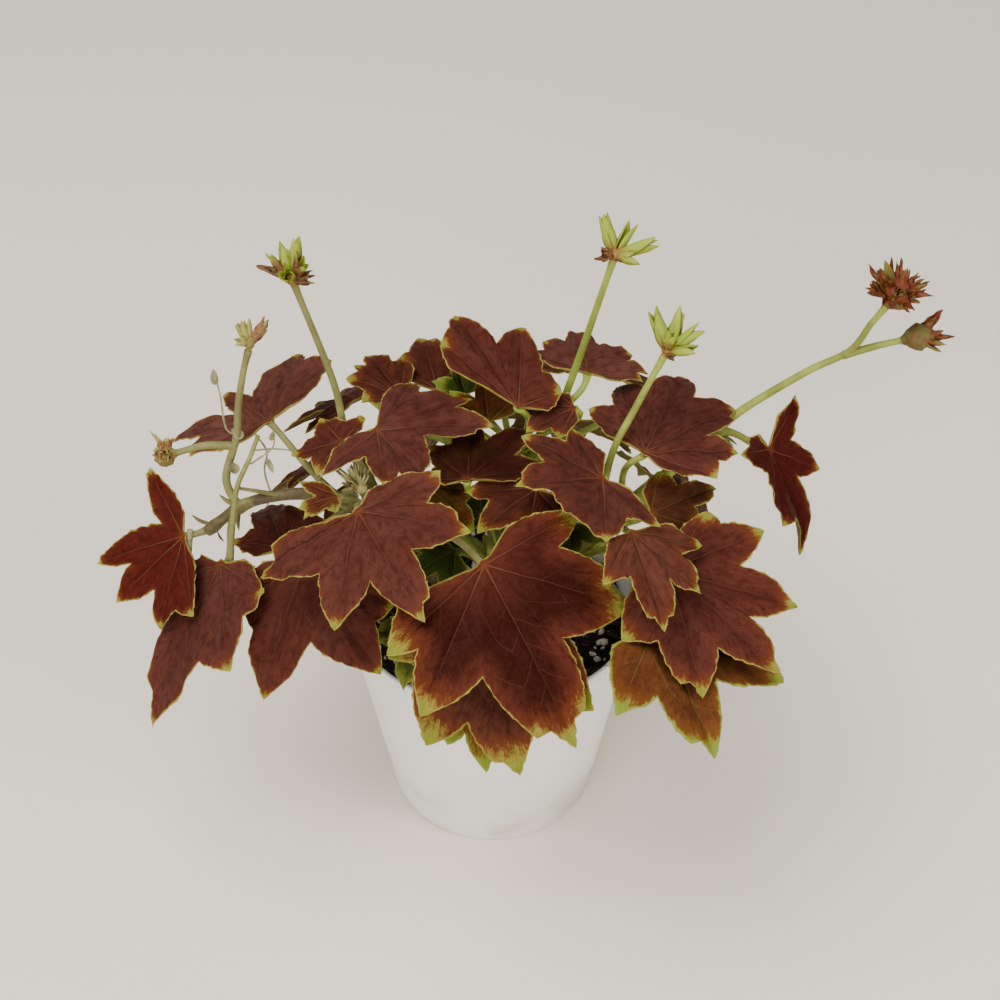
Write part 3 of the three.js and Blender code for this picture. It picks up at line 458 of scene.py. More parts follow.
# A leaf: its name, finish, stem and place along it, its hub, (bearing, dip, bank) and size. Then
# its lobes as [angle, length, tooth before, tooth after], where a lobe without teeth has only the
# first two, and its lows as [angle, length]: the shoulder by the first lobe, the notches between
# lobes and the shoulder by the last one. Angles are degrees from the middle and lengths are
# shares of the size. A leaf that the others hide has a number of lobes and the angle between
# them. Extras fold the blade, bow its stalk, or say that the leaf is too small for the CAD.
LEAVES = [
    ("front_big", "mature", "left", 0.36, (-2, -49, 145.5), (-57, 30, 8), 54,
     [[-74, 0.69], [-50, 0.85], [1, 1.05, 1, 0.9], [49, 0.82, 0, 0.9], [94, 0.62]],
     [[-93, 0.46], [-65, 0.58], [-29, 0.6], [20, 0.56], [77, 0.41], [122, 0.24]],
     {"bow": (3, -3, 6)}),
    ("front_mid", "mature", "centre", 0.8, (0, -47, 130), (-84, 33, 16), 52,
     [[-68, 0.68], [-32, 0.89, 0.3, 0], [2, 0.97, 0.7, 0], [36, 0.83], [73, 0.52]],
     [[-97, 0.29], [-57, 0.54], [-17, 0.7], [18, 0.61], [59, 0.46], [96, 0.3]]),
    ("front_low", "young", "centre", 0.66, (-6, -48, 119), (-84, 50, 4), 44,
     [[-80, 0.55], [-15, 0.83], [2, 1.02, 0, 0.6], [36, 0.85, 0.6, 0], [80, 0.65]],
     [[-112, 0.3], [-47, 0.4], [-7, 0.72], [19, 0.6], [58, 0.5], [104, 0.32]]),
    ("left_front", "mature", "left", 0.38, (-38, -33, 151), (-63, 1, 26), 42,
     [[-100, 0.84, 1.2, 0], [-42, 0.86], [-3, 0.96, 0, 0.9], [41, 0.83, 0.3, 0.9],
      [79, 0.63, 0, 0.3]],
     [[-112, 0.25], [-62, 0.51], [-19, 0.58], [16, 0.58], [54, 0.52], [122, 0.16]]),
    ("left_top", "mature", "left", 0.42, (-34, -1, 154), (-30, -6, 0), 40,
     [[-102, 0.6], [-52, 0.62], [-28, 0.67, 0, 0.5], [36, 0.87, 1, 0], [58, 0.8],
      [99, 0.7, 0, 0.8]],
     [[-140, 0.16], [-72, 0.33], [-40, 0.54], [10, 0.38], [50, 0.62], [84, 0.52], [117, 0.36]]),
    ("mid_right", "mature", "centre", 0.92, (32, -22, 154), (205, -10, -8), 36,
     [[-92, 0.6], [-55, 0.76], [-12, 0.71, 1, 0], [68, 0.66, 0, 0.5], [114, 0.63]],
     [[-121, 0.24], [-74, 0.45], [-35, 0.48], [-1, 0.48], [92, 0.44], [132, 0.2]]),
    ("right_small", "mature", "right", 0.42, (40, -38, 148), (-72, 10, -15), 32,
     [[-42, 0.66], [0, 1.0, 0.9, 0.9], [34, 0.82, 0, 0.7], [76, 0.7]],
     [[-73, 0.26], [-22, 0.53], [18, 0.57], [55, 0.49], [99, 0.36]]),
    ("right_big", "mature", "right", 0.36, (51, -41, 135), (-44, 12, 13), 44,
     [[-78, 0.58], [-32, 0.87, 1, 0], [3, 0.96, 0, 0.5], [31, 0.87, 0, 0.3], [72, 0.73, 0, 0.4],
      [104, 0.54]],
     [[-104, 0.3], [-55, 0.52], [-16, 0.62], [13, 0.6], [50, 0.48], [89, 0.5], [120, 0.3]]),
    ("right_low", "young", "right", 0.3, (47, -53, 125), (-63, 14, -8), 44,
     [[-48, 0.72], [-1, 0.94, 0.9, 0], [49, 0.94], [84, 0.68]],
     [[-83, 0.36], [-28, 0.55], [19, 0.54], [66, 0.6], [108, 0.34]]),
    ("right_back", "mature", "right", 0.58, (45, -10, 153), (60, -4, 0), 38,
     [[-84, 0.59], [-55, 0.73], [-21, 0.98, 0.9, 0.3], [11, 1.2, 0, 0.9], [39, 0.97], [66, 0.71]],
     [[-122, 0.2], [-72, 0.57], [-40, 0.52], [-3, 0.78], [25, 0.75], [52, 0.59], [86, 0.34]],
     {"bow": (-5, 2, 6)}),
    ("right_under", "young", "right", 0.5, (47, -21, 139), (20, 5, 20), 26,
     [[-62, 0.7], [-25, 0.6], [15, 1.02, 0.8, 0], [62, 0.6]],
     [[-95, 0.3], [-45, 0.5], [0, 0.55], [35, 0.54], [95, 0.26]]),
    ("far_right", "mature", "right", 0.98, (84, 5, 141), (-40, 50, -10), 34,
     [[-112, 0.54], [-34, 0.71], [1, 1.07], [42, 0.62], [110, 0.64]],
     [[-150, 0.24], [-74, 0.34], [-16, 0.66], [20, 0.4], [76, 0.24], [128, 0.22]],
     {"fold": 0.35}),
    ("top_tall", "mature", "back", 0.9, (8, 6, 157), (112, -22, 0), 34,
     [[-84, 0.44], [-24, 0.92], [7, 1.17, 0, 0.6], [25, 0.95]],
     [[-118, 0.26], [-50, 0.44], [-5, 0.69], [16, 1.02], [40, 0.7]], {"bow": (3, 6, 0)}),
    ("top_flat", "mature", "back", 0.97, (29, 21, 158), (90, 2, 6), 27,
     [[-92, 0.64], [-76, 0.74], [-44, 0.8, 0, 0.8], [4, 1.01, 0.8, 0], [39, 0.78], [61, 0.77]],
     [[-113, 0.24], [-84, 0.57], [-61, 0.52], [-15, 0.6], [20, 0.67], [50, 0.62], [85, 0.36]]),
    ("centre_back", "mature", "back", 0.93, (25, 10.5, 153), (178, -2, -4), 23,
     [[-48, 0.4], [-10, 0.83], [35, 0.76], [70, 0.56]],
     [[-76, 0.22], [-32, 0.36], [16, 0.57], [53, 0.52], [104, 0.24]]),
    ("centre_dark", "mature", "back", 0.75, (-7, -16, 148), (60, -6, 0), 30,
     [[-46, 0.78], [-6, 1.05, 0.5, 0.5], [29, 0.89, 0, 0.5], [70, 0.64], [115, 0.42]],
     [[-70, 0.36], [-25, 0.56], [13, 0.6], [50, 0.5], [94, 0.36], [140, 0.2]],
     {"bow": (4, 4, 0)}),
    ("centre_hang", "young", "centre", 0.85, (-19, -13, 143), (-80, 32, 5), 23,
     [[-70, 0.6], [38, 0.85, 0.6, 0.3], [74, 0.6]],
     [[-110, 0.26], [-20, 0.5], [57, 0.55], [100, 0.26]], {"bow": (-4, 0, -4)}),
    ("centre_low", "mature", "centre", 0.88, (13, -18, 146), (222, 0, -6), 26,
     [[-72, 0.5], [-42, 0.8], [-1, 0.86, 0, 0.6], [41, 0.54], [84, 0.66]],
     [[-98, 0.24], [-60, 0.46], [-20, 0.57], [24, 0.58], [60, 0.46], [116, 0.26]]),
    ("left_small", "mature", "left", 0.47, (-45, 2, 147), (150, 5, -8), 19,
     [[-96, 0.61], [-28, 0.73], [38, 0.83, 0, 0.6], [86, 0.7]],
     [[-130, 0.26], [-60, 0.43], [8, 0.48], [63, 0.56], [112, 0.3]]),
    ("left_tiny", "red", "left", 0.5, (-45, -19, 144), (185, 5, -15), 13,
     [[-38, 1.15], [4, 0.92, 0, 0.6], [26, 0.92, 0, 0.8], [78, 0.42]],
     [[-62, 0.3], [-13, 0.55], [16, 0.8], [46, 0.4], [110, 0.2]]),
    ("left_winged", "mature", "left", 0.62, (-68, 15, 144), (135, 8, -10), 36,
     [[-76, 0.93], [-54, 1.0], [-4, 0.75], [36, 0.98], [60, 0.74]],
     [[-104, 0.34], [-65, 0.78], [-19, 0.42], [15, 0.38], [47, 0.62], [92, 0.34]]),
    ("far_left", "mature", "left", 0.98, (-94, -10, 119), (-140, 38, -8), 36,
     [[-112, 0.69], [-38, 0.86, 0.3, 0], [-13, 0.85], [26, 0.81], [55, 0.75]],
     [[-145, 0.2], [-80, 0.22], [-26, 0.52], [8, 0.52], [41, 0.66], [74, 0.24]], {"fold": 0.3}),
    ("left_long", "mature", "left", 0.9, (-82, -19, 116), (-120, 30, 25), 52,
     [[-66, 0.29], [-6, 1.01, 0.5, 0], [38, 0.7, 0, 0.6], [81, 0.47]],
     [[-95, 0.2], [-37, 0.35], [22, 0.62], [60, 0.5], [108, 0.22]]),
    ("left_lower", "mature", "left", 0.5, (-55, -28, 127), (-105, 40, 10), 46,
     [[-48, 0.52], [-10, 0.95], [45, 0.89], [74, 0.68]],
     [[-78, 0.3], [-28, 0.58], [16, 0.54], [61, 0.64], [100, 0.32]]),
    ("left_shaded", "mature", "left", 0.6, (-65, 0, 104), (150, 5, 0), 26,
     [[-104, 0.75], [-67, 0.89], [-41, 1.38], [8, 0.73]],
     [[-136, 0.45], [-88, 0.64], [-56, 0.8], [-16, 0.6], [50, 0.36]]),
    ("top_left_outer", "mature", "back", 0.8, (-28, 22, 148), (135, -5, 0), 24,
     [[-48, 0.85], [-20, 1.15], [-3, 0.94], [16, 0.82], [56, 0.5]],
     [[-70, 0.34], [-34, 0.66], [-9, 0.8], [6, 0.73], [38, 0.46], [84, 0.24]]),
    ("top_left_inner", "mature", "back", 0.85, (-17, 27, 146), (95, -8, 0), 22,
     [[-30, 0.8], [6, 1.4, 0.9, 0], [40, 0.88]],
     [[-58, 0.4], [-13, 0.82], [23, 0.88], [68, 0.34]]),
    ("inner_left", "green", "centre", 0.6, (-11, -17, 120), (-150, 8, 0), 20, 3, 60),
    ("inner_mid", "green", "centre", 0.5, (-7.5, -2, 111.5), (190, 0, 0), 22, 3, 60),
    ("inner_right", "green", "centre", 0.85, (23, -21, 135), (-90, 14, 0), 13, 3, 60),
    ("inner_front", "green", "centre", 0.5, (-20, -42, 112), (-125, 42, 0), 19, 3, 60),
    ("inner_back", "green", "centre", 0.7, (-3, 2, 117), (140, -5, 0), 17, 5, 46,
     {"added": True}),
    ("bud_fold", "green", "back", 0.9, (-8, 21, 149), (110, -45, 0), 13, 3, 55,
     {"fold": 0.4, "bow": (-3, 6, 0)}),
    ("bud_upright", "young", "back", 0.93, (-1, 14, 144), (95, -58, 0), 17, 3, 50,
     {"fold": 0.3, "bow": (-2, 4, 0)}),
    ("back_upper_left", "mature", "back", 0.7, (-40, 42, 132), (132, 30, 0), 34, 5, 44),
    ("back_upper_mid", "mature", "back", 0.78, (2, 46, 139), (92, 25, 0), 36, 5, 44),
    ("back_upper_right", "mature", "back", 0.74, (48, 40, 135), (48, 30, 0), 35, 5, 44),
    ("back_mid_left", "mature", "back", 0.55, (-18, 52, 113), (108, 50, 0), 32, 5, 44),
    ("back_mid_right", "mature", "back", 0.5, (24, 54, 111), (80, 50, 0), 35, 5, 44),
    ("back_far_left", "mature", "left", 0.4, (-54, 40, 106), (138, 38, 0), 30, 5, 44),
    ("back_far_right", "mature", "right", 0.4, (60, 22, 108), (15, 45, 0), 28, 5, 44),
    ("side_left", "mature", "left", 0.3, (-48, 6, 102), (190, 38, 0), 32, 5, 44),
    ("side_right", "mature", "right", 0.3, (50, -4, 101), (-18, 42, 0), 29, 5, 44),
    ("back_lower_left", "young", "back", 0.42, (-44, 52, 86), (132, 42, 0), 28, 5, 44),
    ("back_lower_mid", "young", "back", 0.4, (2, 60, 92), (88, 50, 0), 30, 5, 44),
    ("back_lower_right", "young", "right", 0.22, (54, 46, 92), (38, 48, 0), 26, 5, 44),
]

# How each finish colours a blade: the lime tips' reach and the margin's width in millimetres, and
# the shares of dark heart (the leaf's own dark zone, deepened on some leaves as painted shade),
# orange, olive, painted sky reflection (a violet sheen; below zero, a deeper wine red where a
# leaf faces away from the sky) and painted shade. Then the leaves that differ.
SKIN = {
    "mature": (2.6, 0.24, 0.5, 0.15, 0.1, 0.2, 0.1),
    "young": (4.0, 0.35, 0.3, 0.35, 0.4, 0.1, 0.1),
    "green": (5.0, 0.5, 0.2, 0.2, 0.2, 0, 0.1),
    "red": (3.0, 0.4, 0.5, 0.3, 0.1, 0.1, 0),
}
SKIN_OF = {
    "front_big": (7.5, 0.3, 0.8, 0.25, 0, 0, 0),
    # front_mid's full orange and its reflection share are painted light: they lighten a leaf lying
    # in front_big's shadow.
    "front_mid": (8.5, 0.35, 0, 1.0, 0.1, 0.6, 0),
    "front_low": (8.5, 0.6, 0.2, 0.5, 0.5, 0, 0),
    "left_front": (3.4, 0.24, 0.3, 0.15, 0, 0.45, 0),
    "left_top": (2.6, 0.24, 0.3, 0, 0, 0.6, 0.05),
    "mid_right": (2.8, 0.24, 0.7, 0.1, 0, 0.4, 0.15),
    "right_small": (3.0, 0.28, 0.1, 0.4, 0.1, 0.4, 0),
    "right_big": (4.5, 0.3, 0.4, 0.25, 0, 0.25, 0),
    "right_low": (6.0, 0.6, 0.3, 0.2, 0.15, 0.1, 0),
    "right_back": (2.4, 0.22, 0.5, 0.1, 0, 0.4, 0),
    "right_under": (3.2, 0.26, 1.0, 0, 0, 0.4, 0.5),
    "far_right": (2.4, 0.3, 0.7, 0, 0, -0.8, 0.3),
    "top_tall": (2.8, 0.26, 0.2, 0.15, 0, 0.2, 0.1),
    "top_flat": (2.4, 0.22, 0.3, 0, 0, 0.85, 0),
    "centre_back": (2.4, 0.22, 0.5, 0, 0, 0.3, 0.1),
    "centre_dark": (2.6, 0.24, 0.9, 0, 0.3, 0, 0.6),
    "centre_hang": (3.0, 0.3, 0.3, 0.3, 0.8, 0, 0.3),
    "centre_low": (3.5, 0.3, 0.5, 0.2, 0.2, 0.1, 0.2),
    "left_long": (3.2, 0.34, 0.4, 0.1, 0, 0.5, 0),
    "left_winged": (2.6, 0.24, 0.2, 0, 0, 1.0, 0),
    "far_left": (2.4, 0.3, 0.45, 0.1, 0, -0.7, 0),
    "left_lower": (2.6, 0.26, 0.4, 0.15, 0.1, 0.3, 0),
    "top_left_outer": (3.4, 0.24, 0.5, 0.1, 0.2, 0, 0),
    "left_shaded": (2.4, 0.3, 0.2, 0.1, 0, 0.2, 0),
    "top_left_inner": (4.2, 0.24, 0.5, 0.1, 0.2, 0, 0),
}
LEAF_COLOURS = {
    "mature": {"Heart": "#260804", "Blade": "#4b2119", "Flush": "#643118", "Olive": "#45380f",
               "Margin": "#6c7a22", "Gold": "#948a38", "Vein": "#6c3f30", "Under": "#6d5c36"},
    "young": {"Heart": "#341207", "Blade": "#5a3018", "Flush": "#6a3e18", "Olive": "#4c4a14",
              "Margin": "#6e8426", "Gold": "#7f8a32", "Vein": "#76642c", "Under": "#767240"},
    "green": {"Heart": "#1d260b", "Blade": "#2f3b13", "Flush": "#4a501b", "Olive": "#3a4416",
              "Margin": "#5c6c25", "Gold": "#72792e", "Vein": "#5d6630", "Under": "#566132"},
    "red": {"Heart": "#320c07", "Blade": "#481d13", "Flush": "#5a3319", "Olive": "#5c4418",
            "Margin": "#75852e", "Gold": "#8f8a38", "Vein": "#7a442f", "Under": "#74482d"},
}


def draw(number, purpose):
    """The frame's repeatable draw between 0 and 1 for a piece's number and a purpose: what is left
    of a large sine when its whole part is taken off."""
    value = np.sin(number * 12.9898 + np.asarray(purpose) * 78.233) * 43758.5453
    return value - np.floor(value)


def shape_of(shape, number):
    """The lobes and lows of a leaf. Where it gives only a count and a spread they stand evenly,
    shorter to the sides, each turned and sized a little by its draw."""
    if isinstance(shape[0], list):
        lobes = [(lobe + [0, 0])[:4] for lobe in shape[0]]
        return np.array(lobes, dtype=float), np.array(shape[1], dtype=float)
    count, spread = shape
    k = np.arange(count) - (count - 1) / 2
    angles = k * spread + (draw(number, k + 9) - 0.5) * HIDDEN_LEAF["turn"]
    lengths = np.array(HIDDEN_LEAF["lengths"])[np.abs(k).astype(int)]
    lengths = lengths * (HIDDEN_LEAF["shortest"] + HIDDEN_LEAF["vary"] * draw(number, k + 20))
    lobes = np.stack([angles, lengths, draw(number, k + 30), draw(number, k + 40)], axis=-1)
    middles = (angles[1:] + angles[:-1]) / 2
    ends = [[angles[0] - spread / 2, lengths[0] / 2], [angles[-1] + spread / 2, lengths[-1] / 2]]
    depths = HIDDEN_LEAF["notch"] * np.minimum(lengths[1:], lengths[:-1])
    notches = np.stack([middles, depths], axis=-1)
    return lobes, np.concatenate([ends[:1], notches, ends[1:]])


def from_hub(angle, share):
    """Flat places at angles in degrees and shares of the leaf's size."""
    turn = np.radians(angle)
    return np.stack([np.cos(turn), np.sin(turn)], axis=-1) * np.asarray(share)[..., None]


def corner_outline(lobes, lows):
    """The outline's corners as rows of (x, y, lobe, how pointed, bulge of the side after it), in
    shares of the size. A lobe's side runs straight from its tip to the low beside it, swollen
    outward as 4t(1 - t). A tooth stands on it at the crest's share of the way, leaning to the tip,
    behind a small valley. The blade's base runs straight from each shoulder to the hub."""
    tip = from_hub(lobes[:, 0], lobes[:, 1])
    low = from_hub(lows[:, 0], lows[:, 1])
    k = np.arange(len(tip))
    sides = []
    for side, turn in ((0, -1.0), (1, 1.0)):
        way = low[k + side] - tip
        outward = turn * np.stack([way[:, 1], -way[:, 0]], axis=-1)
        tooth = lobes[:, 2 + side, None]
        places = []
        for at, rise in ((SIDE["valley_at"], -SIDE["dip"]), (SIDE["crest_at"], SIDE["out"])):
            lean = SIDE["lean"] * tooth * (rise > 0)
            swell = 4 * SIDE["swell"] * at * (1 - at)
            places.append(tip + way * (at - lean) + outward * (swell + rise * tooth))
        sides.append(places)
    body = np.stack([sides[0][1], sides[0][0], tip, sides[1][0], sides[1][1], low[1:]], axis=1)
    tooth_before, tooth_after = SIDE["tooth_point"] * np.minimum(1, lobes[:, 2:].T)
    zero = 0 * tooth_before
    pointed = np.stack([tooth_before, zero, zero + 1, zero, tooth_after, zero], axis=1)
    near, far = BULGE["near_tip"], BULGE["near_notch"]
    bulge = np.tile([0, near, near, 0, far, far], (len(tip), 1))
    bulge[-1, -1] = 0
    owner = np.repeat(k, body.shape[1])
    inside = np.column_stack([body.reshape(-1, 2), owner, pointed.ravel(), bulge.ravel()])
    turn = BLADE["base_turn"]
    base = from_hub(lows[[0, -1], 0] + [-turn, turn], [BLADE["base"], BLADE["base"]])
    sinus = from_hub((lows[0, 0] + lows[-1, 0]) / 2 + 180, BLADE["sinus"])
    last = len(tip) - 1
    return np.array([[*base[0], 0, 0, 0], [*low[0], 0, 0, far], *inside, [*base[1], last, 0, 0],
                     [*sinus, 0, 0, 0]])


def fine_margin(outline, size):
    """The outline's corners joined by sides that bulge outward as 4t(1 - t), with a slight
    scallop of two sine waves along the longer ones. Gives the points, the lobe of each and the
    corners' places."""
    corners = size * outline[:, :2]
    side = np.roll(corners, -1, axis=0) - corners
    reach = np.linalg.norm(side, axis=1)
    number = np.maximum(1, np.round(reach / LEAF_GRID["step"])).astype(int)
    which = np.repeat(np.arange(len(corners)), number)
    t = (np.arange(len(which)) - np.repeat(np.cumsum(number) - number, number)) / number[which]
    outward = np.stack([side[:, 1], -side[:, 0]], axis=-1) / np.maximum(reach, 1e-6)[:, None]
    run = t * reach[which]
    slow, quick = SCALLOP["beats"]
    wave = np.sin(run * slow + which * 2.3) + SCALLOP["second"] * np.sin(run * quick + which)
    waved = (reach[which] > SCALLOP["least_side"]) * (outline[which, 4] > 0)
    scallop = SCALLOP["rise"] * wave * waved
    rise = 4 * t * (1 - t) * (outline[which, 4] * reach[which] + scallop)
    points = corners[which] + side[which] * t[:, None] + outward[which] * rise[:, None]
    return points, outline[which, 2].astype(int), corners


def toward_notch(angle, lobes, lows):
    """How far an angle in degrees lies from its lobe's midrib: 0 on it and 1 at the low."""
    k = np.searchsorted(lows[1:-1, 0], angle)
    off = angle - lobes[k, 0]
    gap = np.where(off < 0, lobes[k, 0] - lows[k, 0], lows[k + 1, 0] - lobes[k, 0])
    return np.minimum(1, np.abs(off) / np.maximum(gap, 4)), k


def blade_height(x, y, size, lobes, lows, number, fold, rim):
    """The frame's form, at a share of the way out: it droops as share^2, folds up as the distance
    from the midrib, curls down past a share as the square, waves three times round as share^3, and
    is pleated between each lobe's ridge and notch. Over it lie a bell-shaped groove along each
    midrib, a soft quilting between the veins, and a margin rippled as rim^6."""
    far = np.hypot(x, y)
    share = far / size
    angle = np.arctan2(y, x)
    notch, k = toward_notch(np.degrees(angle), lobes, lows)
    height = -BEND["droop"] * share**2 * size + fold * np.abs(y)
    height -= BEND["curl"] * size * np.maximum(0, share - BEND["curl_from"]) ** 2
    height += BEND["wave"] * size * share**3 * np.sin(3 * angle + 2 * np.pi * draw(number, 3))
    height += BEND["pleat"] * size * share * (notch - 0.5)
    across = far * np.sin(np.minimum(np.abs(angle - np.radians(lobes[k, 0])), np.pi / 2))
    groove = RELIEF["groove"] * np.exp(-((across / RELIEF["groove_width"]) ** 2))
    height -= groove * np.minimum(1, far / RELIEF["groove_full"])
    cell = RELIEF["quilt_size"]
    quilt = value_noise(x / cell + number * 3.1, y / cell, 5)
    quilt += value_noise(x / cell * 2, y / cell * 2, number)
    height += RELIEF["quilt"] * (quilt - 1) * np.minimum(1, far / RELIEF["quilt_full"])
    long, short = RELIEF["ripples"]
    ripple = np.sin(angle * long + number) + np.sin(angle * short + number * 2)
    return height + RELIEF["ripple"] * ripple * rim**6


def leaf_frame(bearing, dip, bank):
    """Three directions as rows: forward along the middle lobe, left of it, and up from the
    blade. The blade points to its bearing, dips from level and banks about its middle."""
    out, fall, roll = np.radians([bearing, dip, bank])
    forward = np.array([np.cos(out) * np.cos(fall), np.sin(out) * np.cos(fall), -np.sin(fall)])
    level = np.array([-np.sin(out), np.cos(out), 0])
    left = level * np.cos(roll) + np.cross(forward, level) * np.sin(roll)
    return np.array([forward, left, np.cross(forward, left)])


def side_distance(points, corners):
    """The least distance from each point to the sides of a closed outline."""
    side = np.roll(corners, -1, axis=0) - corners
    from_start = points[:, None] - corners
    along = np.clip((from_start * side).sum(-1) / (side**2).sum(-1), 0, 1)
    return np.linalg.norm(from_start - along[..., None] * side, axis=-1).min(axis=1)


def leaf_blade(lobes, lows, number, size, fold):
    """A closed blade round its hub. Row j of the top stands at 1 - (1 - j/rows)^bunch of the way
    from the hub to the margin, and the underside's rows come back the same way, thinner at the
    rim: thickness = rim + body (1 - way^4). Gives points, faces and the values its skin reads."""
    outline = corner_outline(lobes, lows)
    margin, lobe, corners = fine_margin(outline, size)
    columns = len(margin)
    ways = []
    for count in (LEAF_GRID["under_rows"], LEAF_GRID["rows"]):
        ways.append(1 - (1 - np.arange(1, count + 1) / count) ** LEAF_GRID["bunch"])
    way = np.concatenate([ways[0], ways[1][::-1]])
    under = np.concatenate([np.ones(len(ways[0])), np.zeros(len(ways[1]))])
    flat = way[:, None, None] * margin
    rows = len(way)
    flat = np.concatenate([flat.reshape(-1, 2), np.zeros((2, 2))])
    way = np.append(np.repeat(way, columns), [0, 0])
    under = np.append(np.repeat(under, columns), [1, 0])
    height = blade_height(flat[:, 0], flat[:, 1], size, lobes, lows, number, fold, way)
    height -= under * (BLADE["rim"] + BLADE["body"] * (1 - way**4))
    points = np.column_stack([flat, height])
    faces = closed_faces(rows, columns)
    edge = side_distance(flat, margin)
    sharp = outline[:, 3] > LIME_TIP["least_pointed"]
    from_point = np.linalg.norm(flat[:, None] - corners[sharp], axis=-1)
    held_back = (1 - outline[sharp, 3]) * size * LIME_TIP["held_back"]
    tip = (from_point + held_back).min(axis=1)
    midrib_map = []
    for block, which in zip(faces, [np.tile(lobe, rows - 1), lobe, lobe]):
        turn = np.radians(lobes[which, 0])[:, None]
        x, y = flat[block, 0], flat[block, 1]
        along = x * np.cos(turn) + y * np.sin(turn)
        aside = y * np.cos(turn) - x * np.sin(turn)
        midrib_map.append(np.stack([along, aside], axis=-1).reshape(-1, 2))
    angle = np.arctan2(flat[:, 1], flat[:, 0])
    fan = np.column_stack([np.cos(angle), np.sin(angle), np.hypot(flat[:, 0], flat[:, 1])])
    rim = LEAF_GRID["under_rows"] * columns + np.arange(columns)
    return {"points": points, "faces": faces, "map": np.concatenate(midrib_map), "fan": fan,
            "zone": np.column_stack([edge, tip, under]), "rim": rim, "inner": rim + columns}


def set_values(item, name, values):
    """Keeps three numbers a point on a mesh, for its material to read."""
    layer = item.data.attributes.new(name, "FLOAT_VECTOR", "POINT")
    layer.data.foreach_set("vector", np.asarray(values, dtype=np.float32).ravel())


def set_map(item, places):
    """Keeps a pair of numbers a face corner as the mesh's own map."""
    layer = item.data.uv_layers.new(name="along")
    layer.data.foreach_set("uv", np.asarray(places, dtype=np.float32).ravel())


def add_group(name, colours, values=()):
    """A new shader group with inputs for colours and numbers, and a colour, a roughness and a
    height as its outputs. Gives the group, its inner inputs and its inner outputs."""
    group = bpy.data.node_groups.new(name, "ShaderNodeTree")
    for label in colours:
        group.interface.new_socket(label, in_out="INPUT", socket_type="NodeSocketColor")
    for label in values:
        group.interface.new_socket(label, in_out="INPUT", socket_type="NodeSocketFloat")
    for label, kind in (("Colour", "Color"), ("Roughness", "Float"), ("Height", "Float")):
        group.interface.new_socket(label, in_out="OUTPUT", socket_type="NodeSocket" + kind)
    start = group.nodes.new("NodeGroupInput").outputs
    end = group.nodes.new("NodeGroupOutput").inputs
    return group, start, end


def end_group(tree, end, colour, roughness, height):
    """Links a group's results to its outputs."""
    for label, socket in (("Colour", colour), ("Roughness", roughness), ("Height", height)):
        tree.links.new(socket, end[label])


def grouped_material(name, group, values, gloss, relief):
    """A material that a shader group paints. The values for the group are numbers or codes."""
    material, tree, shader = new_material(name)
    skin = put(tree, "Group", node_tree=group)
    for label, value in values.items():
        skin.inputs[label].default_value = paint(value) if isinstance(value, str) else value
    finish_material(tree, shader, skin.outputs["Colour"], skin.outputs["Roughness"], gloss,
                    skin.outputs["Height"], relief)
    return material, shader


def read_values(tree, name):
    """The three numbers that a mesh keeps under a name, as sockets."""
    kept = put(tree, "Attribute", attribute_name=name).outputs["Vector"]
    return put(tree, "SeparateXYZ", [kept]).outputs


def vector(tree, *values):
    """Three sockets or numbers as one vector."""
    return put(tree, "CombineXYZ", values).outputs[0]


def jitter(tree, value, source, span):
    """A value moved up or down by span times a noise's distance from its middle."""
    return calc(tree, "ADD", value, times(tree, calc(tree, "SUBTRACT", source, 0.5), span))


# The leaf's skin. Noise scales count waves a metre, but for the streaks, which fan out from the
# hub. Other lengths are millimetres. Each lobe's map runs s along its midrib and d across it, and
# side veins leave the midrib at even steps, half a step apart on its two sides.
LEAF_SKIN = {"cloud": 55.0, "fleck": 420.0, "wander": 130.0, "net": 560.0, "streak": 3.2,
             "roughness": (0.46, 0.66), "gloss": 0.03, "sheen": 0.006, "sheen_spread": 0.4,
             "relief": 0.0004}
VEINS = {"wander": 1.6, "midrib_foot": 0.2, "midrib_tip": 0.08, "midrib_run": 40.0,
         "step": 8.2, "lead": 1.3, "arch": 0.035, "width": 0.42, "side_share": 0.45}
# Tints: the painted sky reflection, the deeper wine red of leaves that face away from the sky, the
# pale hub veins, the painted shade, the cream rim, and the shader's own sheen.
LEAF_TINTS = {"painted_reflection": "#623e34", "wine": "#4a130c", "star": "#7a5638", "shade": "#120502",
              "cream": "#a2875a", "sheen": "#d9b9b4"}

leaf_group, start, end = add_group(
    "leaf pattern", ["Heart", "Blade", "Flush", "Olive", "Margin", "Gold", "Vein", "Under"])
tree = leaf_group
edge, tip, under = read_values(tree, "zone")
reach, side_width, seed = read_values(tree, "lime")
dark, orange, olive = read_values(tree, "tone")
# Painted light kept a point: a sky reflection share and a painted shade share.
painted_reflection, shade = read_values(tree, "painted_light")[:2]
fan_x, fan_y, far = read_values(tree, "fan")
place = put(tree, "TexCoord").outputs["Object"]
ray = calc(tree, "ADD", times(tree, far, 0.06), times(tree, seed, 13.0))
rays = vector(tree, times(tree, fan_x, 9.0), times(tree, fan_y, 9.0), ray)
streak = noise(tree, rays, LEAF_SKIN["streak"], 4.0)
cloud = noise(tree, place, LEAF_SKIN["cloud"], 4.0)
fleck = noise(tree, place, LEAF_SKIN["fleck"], 3.0)

